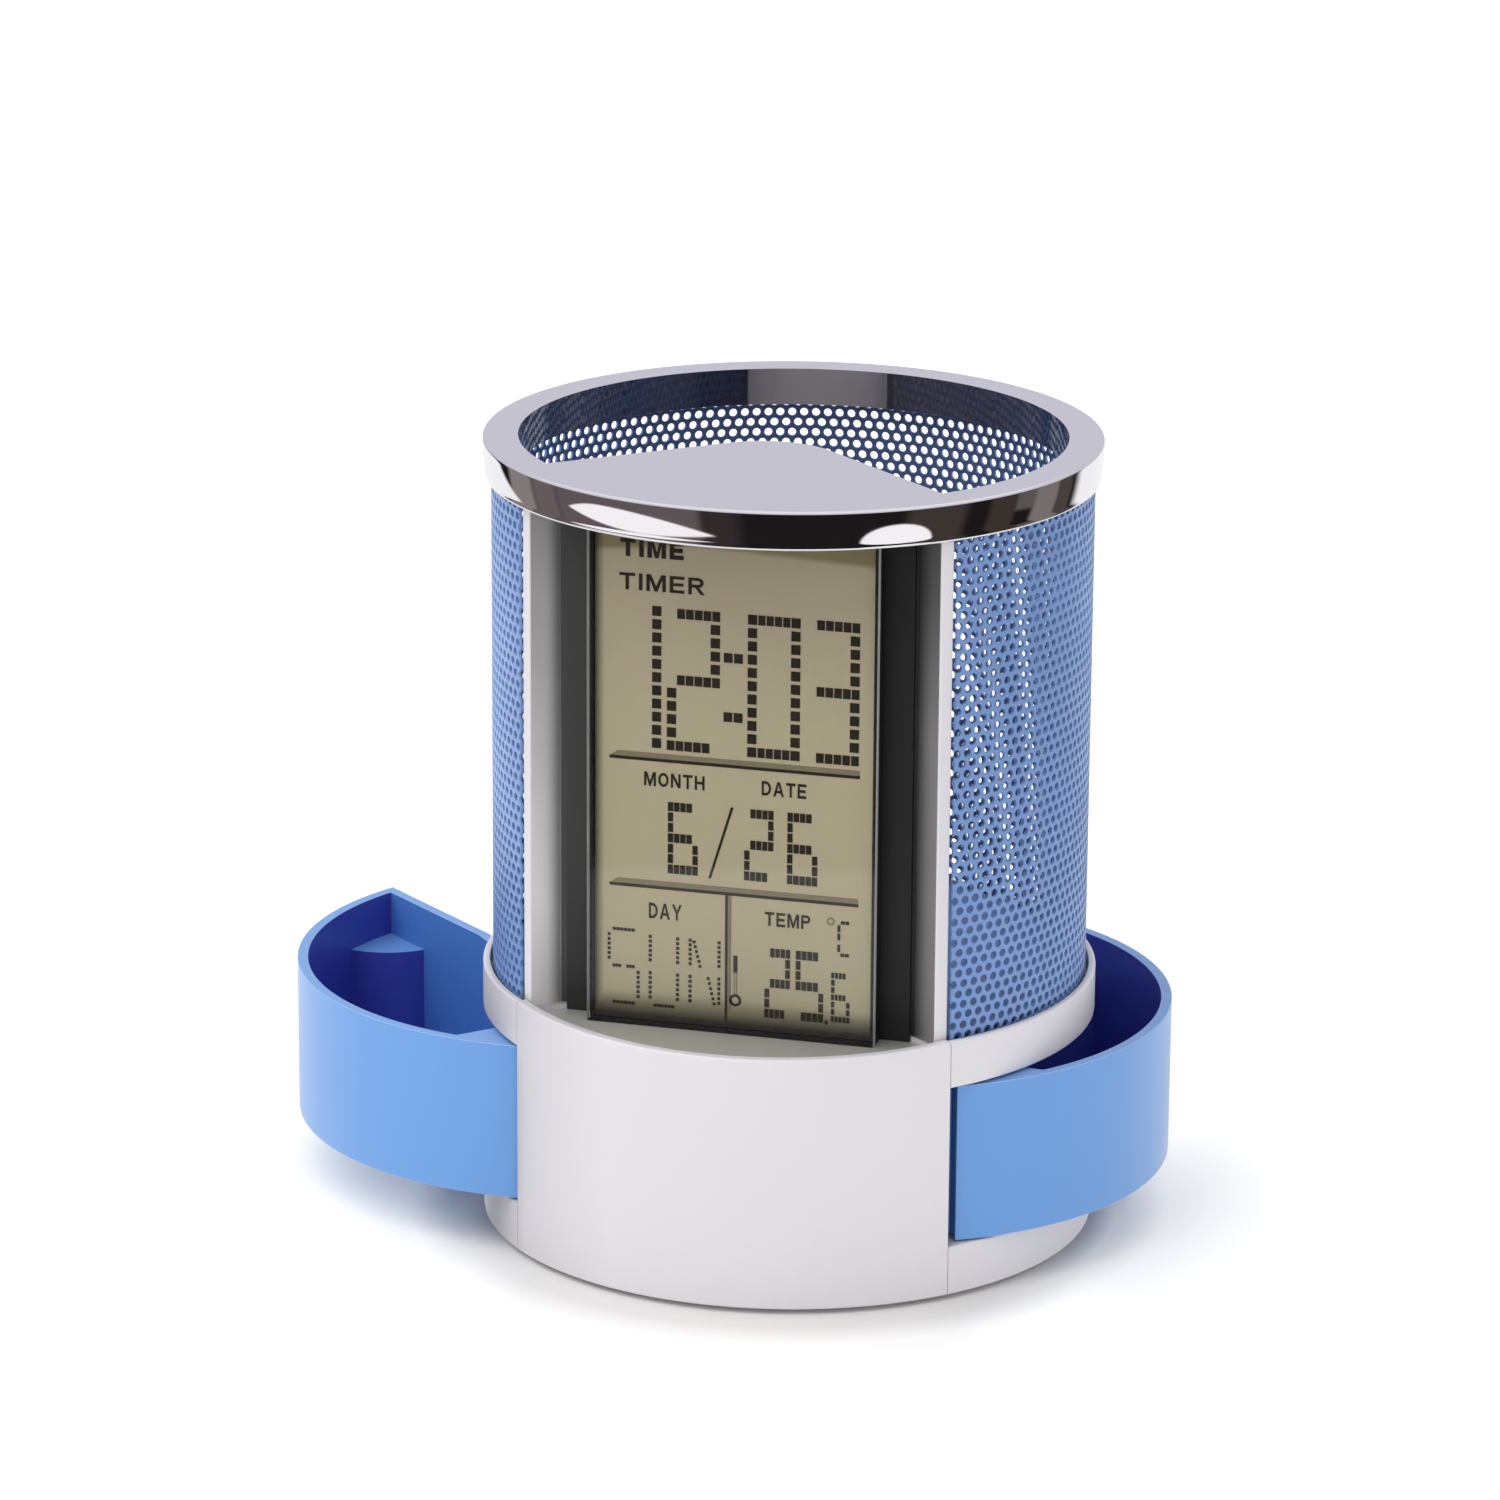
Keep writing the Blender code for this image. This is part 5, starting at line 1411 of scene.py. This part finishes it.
    # two pale lamps low in front: a long leaf at the left and a mound at the right
    u = n.math('ADD', az, 76.0)
    bend = n.ramp(u, -0.01, 0.01, 0.0099, 0.0043)
    upper = n.math('SUBTRACT', -16.9, n.math('MULTIPLY', n.math('MULTIPLY', u, u), bend))
    v = n.math('ADD', az, 52.0)
    bend = n.ramp(v, -0.01, 0.01, 0.0050, 0.0030)
    lower = n.math('ADD', -27.7, n.math('MULTIPLY', n.math('MULTIPLY', v, v), bend))
    leaf = n.math('MULTIPLY', n.ramp(n.math('SUBTRACT', upper, el), -0.35, 0.35), n.ramp(n.math('SUBTRACT', el, lower), -0.35, 0.35))
    mx = n.math('DIVIDE', n.math('SUBTRACT', az, 40.5), 14.5)
    mz = n.math('DIVIDE', n.math('ADD', el, 29.0), 9.0)
    mound = n.ramp(n.math('ADD', n.math('MULTIPLY', mx, mx), n.math('MULTIPLY', mz, mz)), 1.08, 0.92)
    low = n.mix(n.math('MAXIMUM', leaf, mound), low, (1.04, 1.00, 1.02))
    # far behind the object the table runs out white
    far_left = n.math('SUBTRACT', n.math('MULTIPLY', az, -1.0), n.math('MULTIPLY', n.math('ADD', el, 14.9), 2.05))
    low = n.mix(n.math('MAXIMUM', n.ramp(far_left, 135.6, 139.6, smooth=True), n.ramp(az, 127.0, 135.0, smooth=True)), low,
                (0.97, 0.96, 0.98))
    gloss = n.mix(n.ramp(el, -9.0, 4.0, smooth=True), low, sky)
    n.link(gloss, bg_gloss.inputs["Color"])
    bg_gloss.inputs["Strength"].default_value = 1.0
    lp = n.new("ShaderNodeLightPath")
    m1, m2 = n.new("ShaderNodeMixShader"), n.new("ShaderNodeMixShader")
    n.link(lp.outputs["Is Glossy Ray"], m1.inputs[0])
    n.link(bg_diff.outputs[0], m1.inputs[1])
    n.link(bg_gloss.outputs[0], m1.inputs[2])
    n.link(lp.outputs["Is Camera Ray"], m2.inputs[0])
    n.link(m1.outputs[0], m2.inputs[1])
    n.link(bg_cam.outputs[0], m2.inputs[2])
    n.link(m2.outputs[0], out.inputs["Surface"])

    def area(name, place, target, size, power, gloss=True):
        data = bpy.data.lights.new(name, 'AREA')
        data.shape = 'RECTANGLE'
        data.size, data.size_y = size
        data.energy = power
        ob = bpy.data.objects.new(name, data)
        ob.location = place
        ob.rotation_euler = (Vector(target) - Vector(place)).to_track_quat('-Z', 'Y').to_euler()
        ob.visible_glossy = gloss
        scene.collection.objects.link(ob)

    area("left_softbox", (-0.45, -0.35, 0.95), (0, 0, 0.05), (1.0, 1.0), 5.5, gloss=False)


studio()
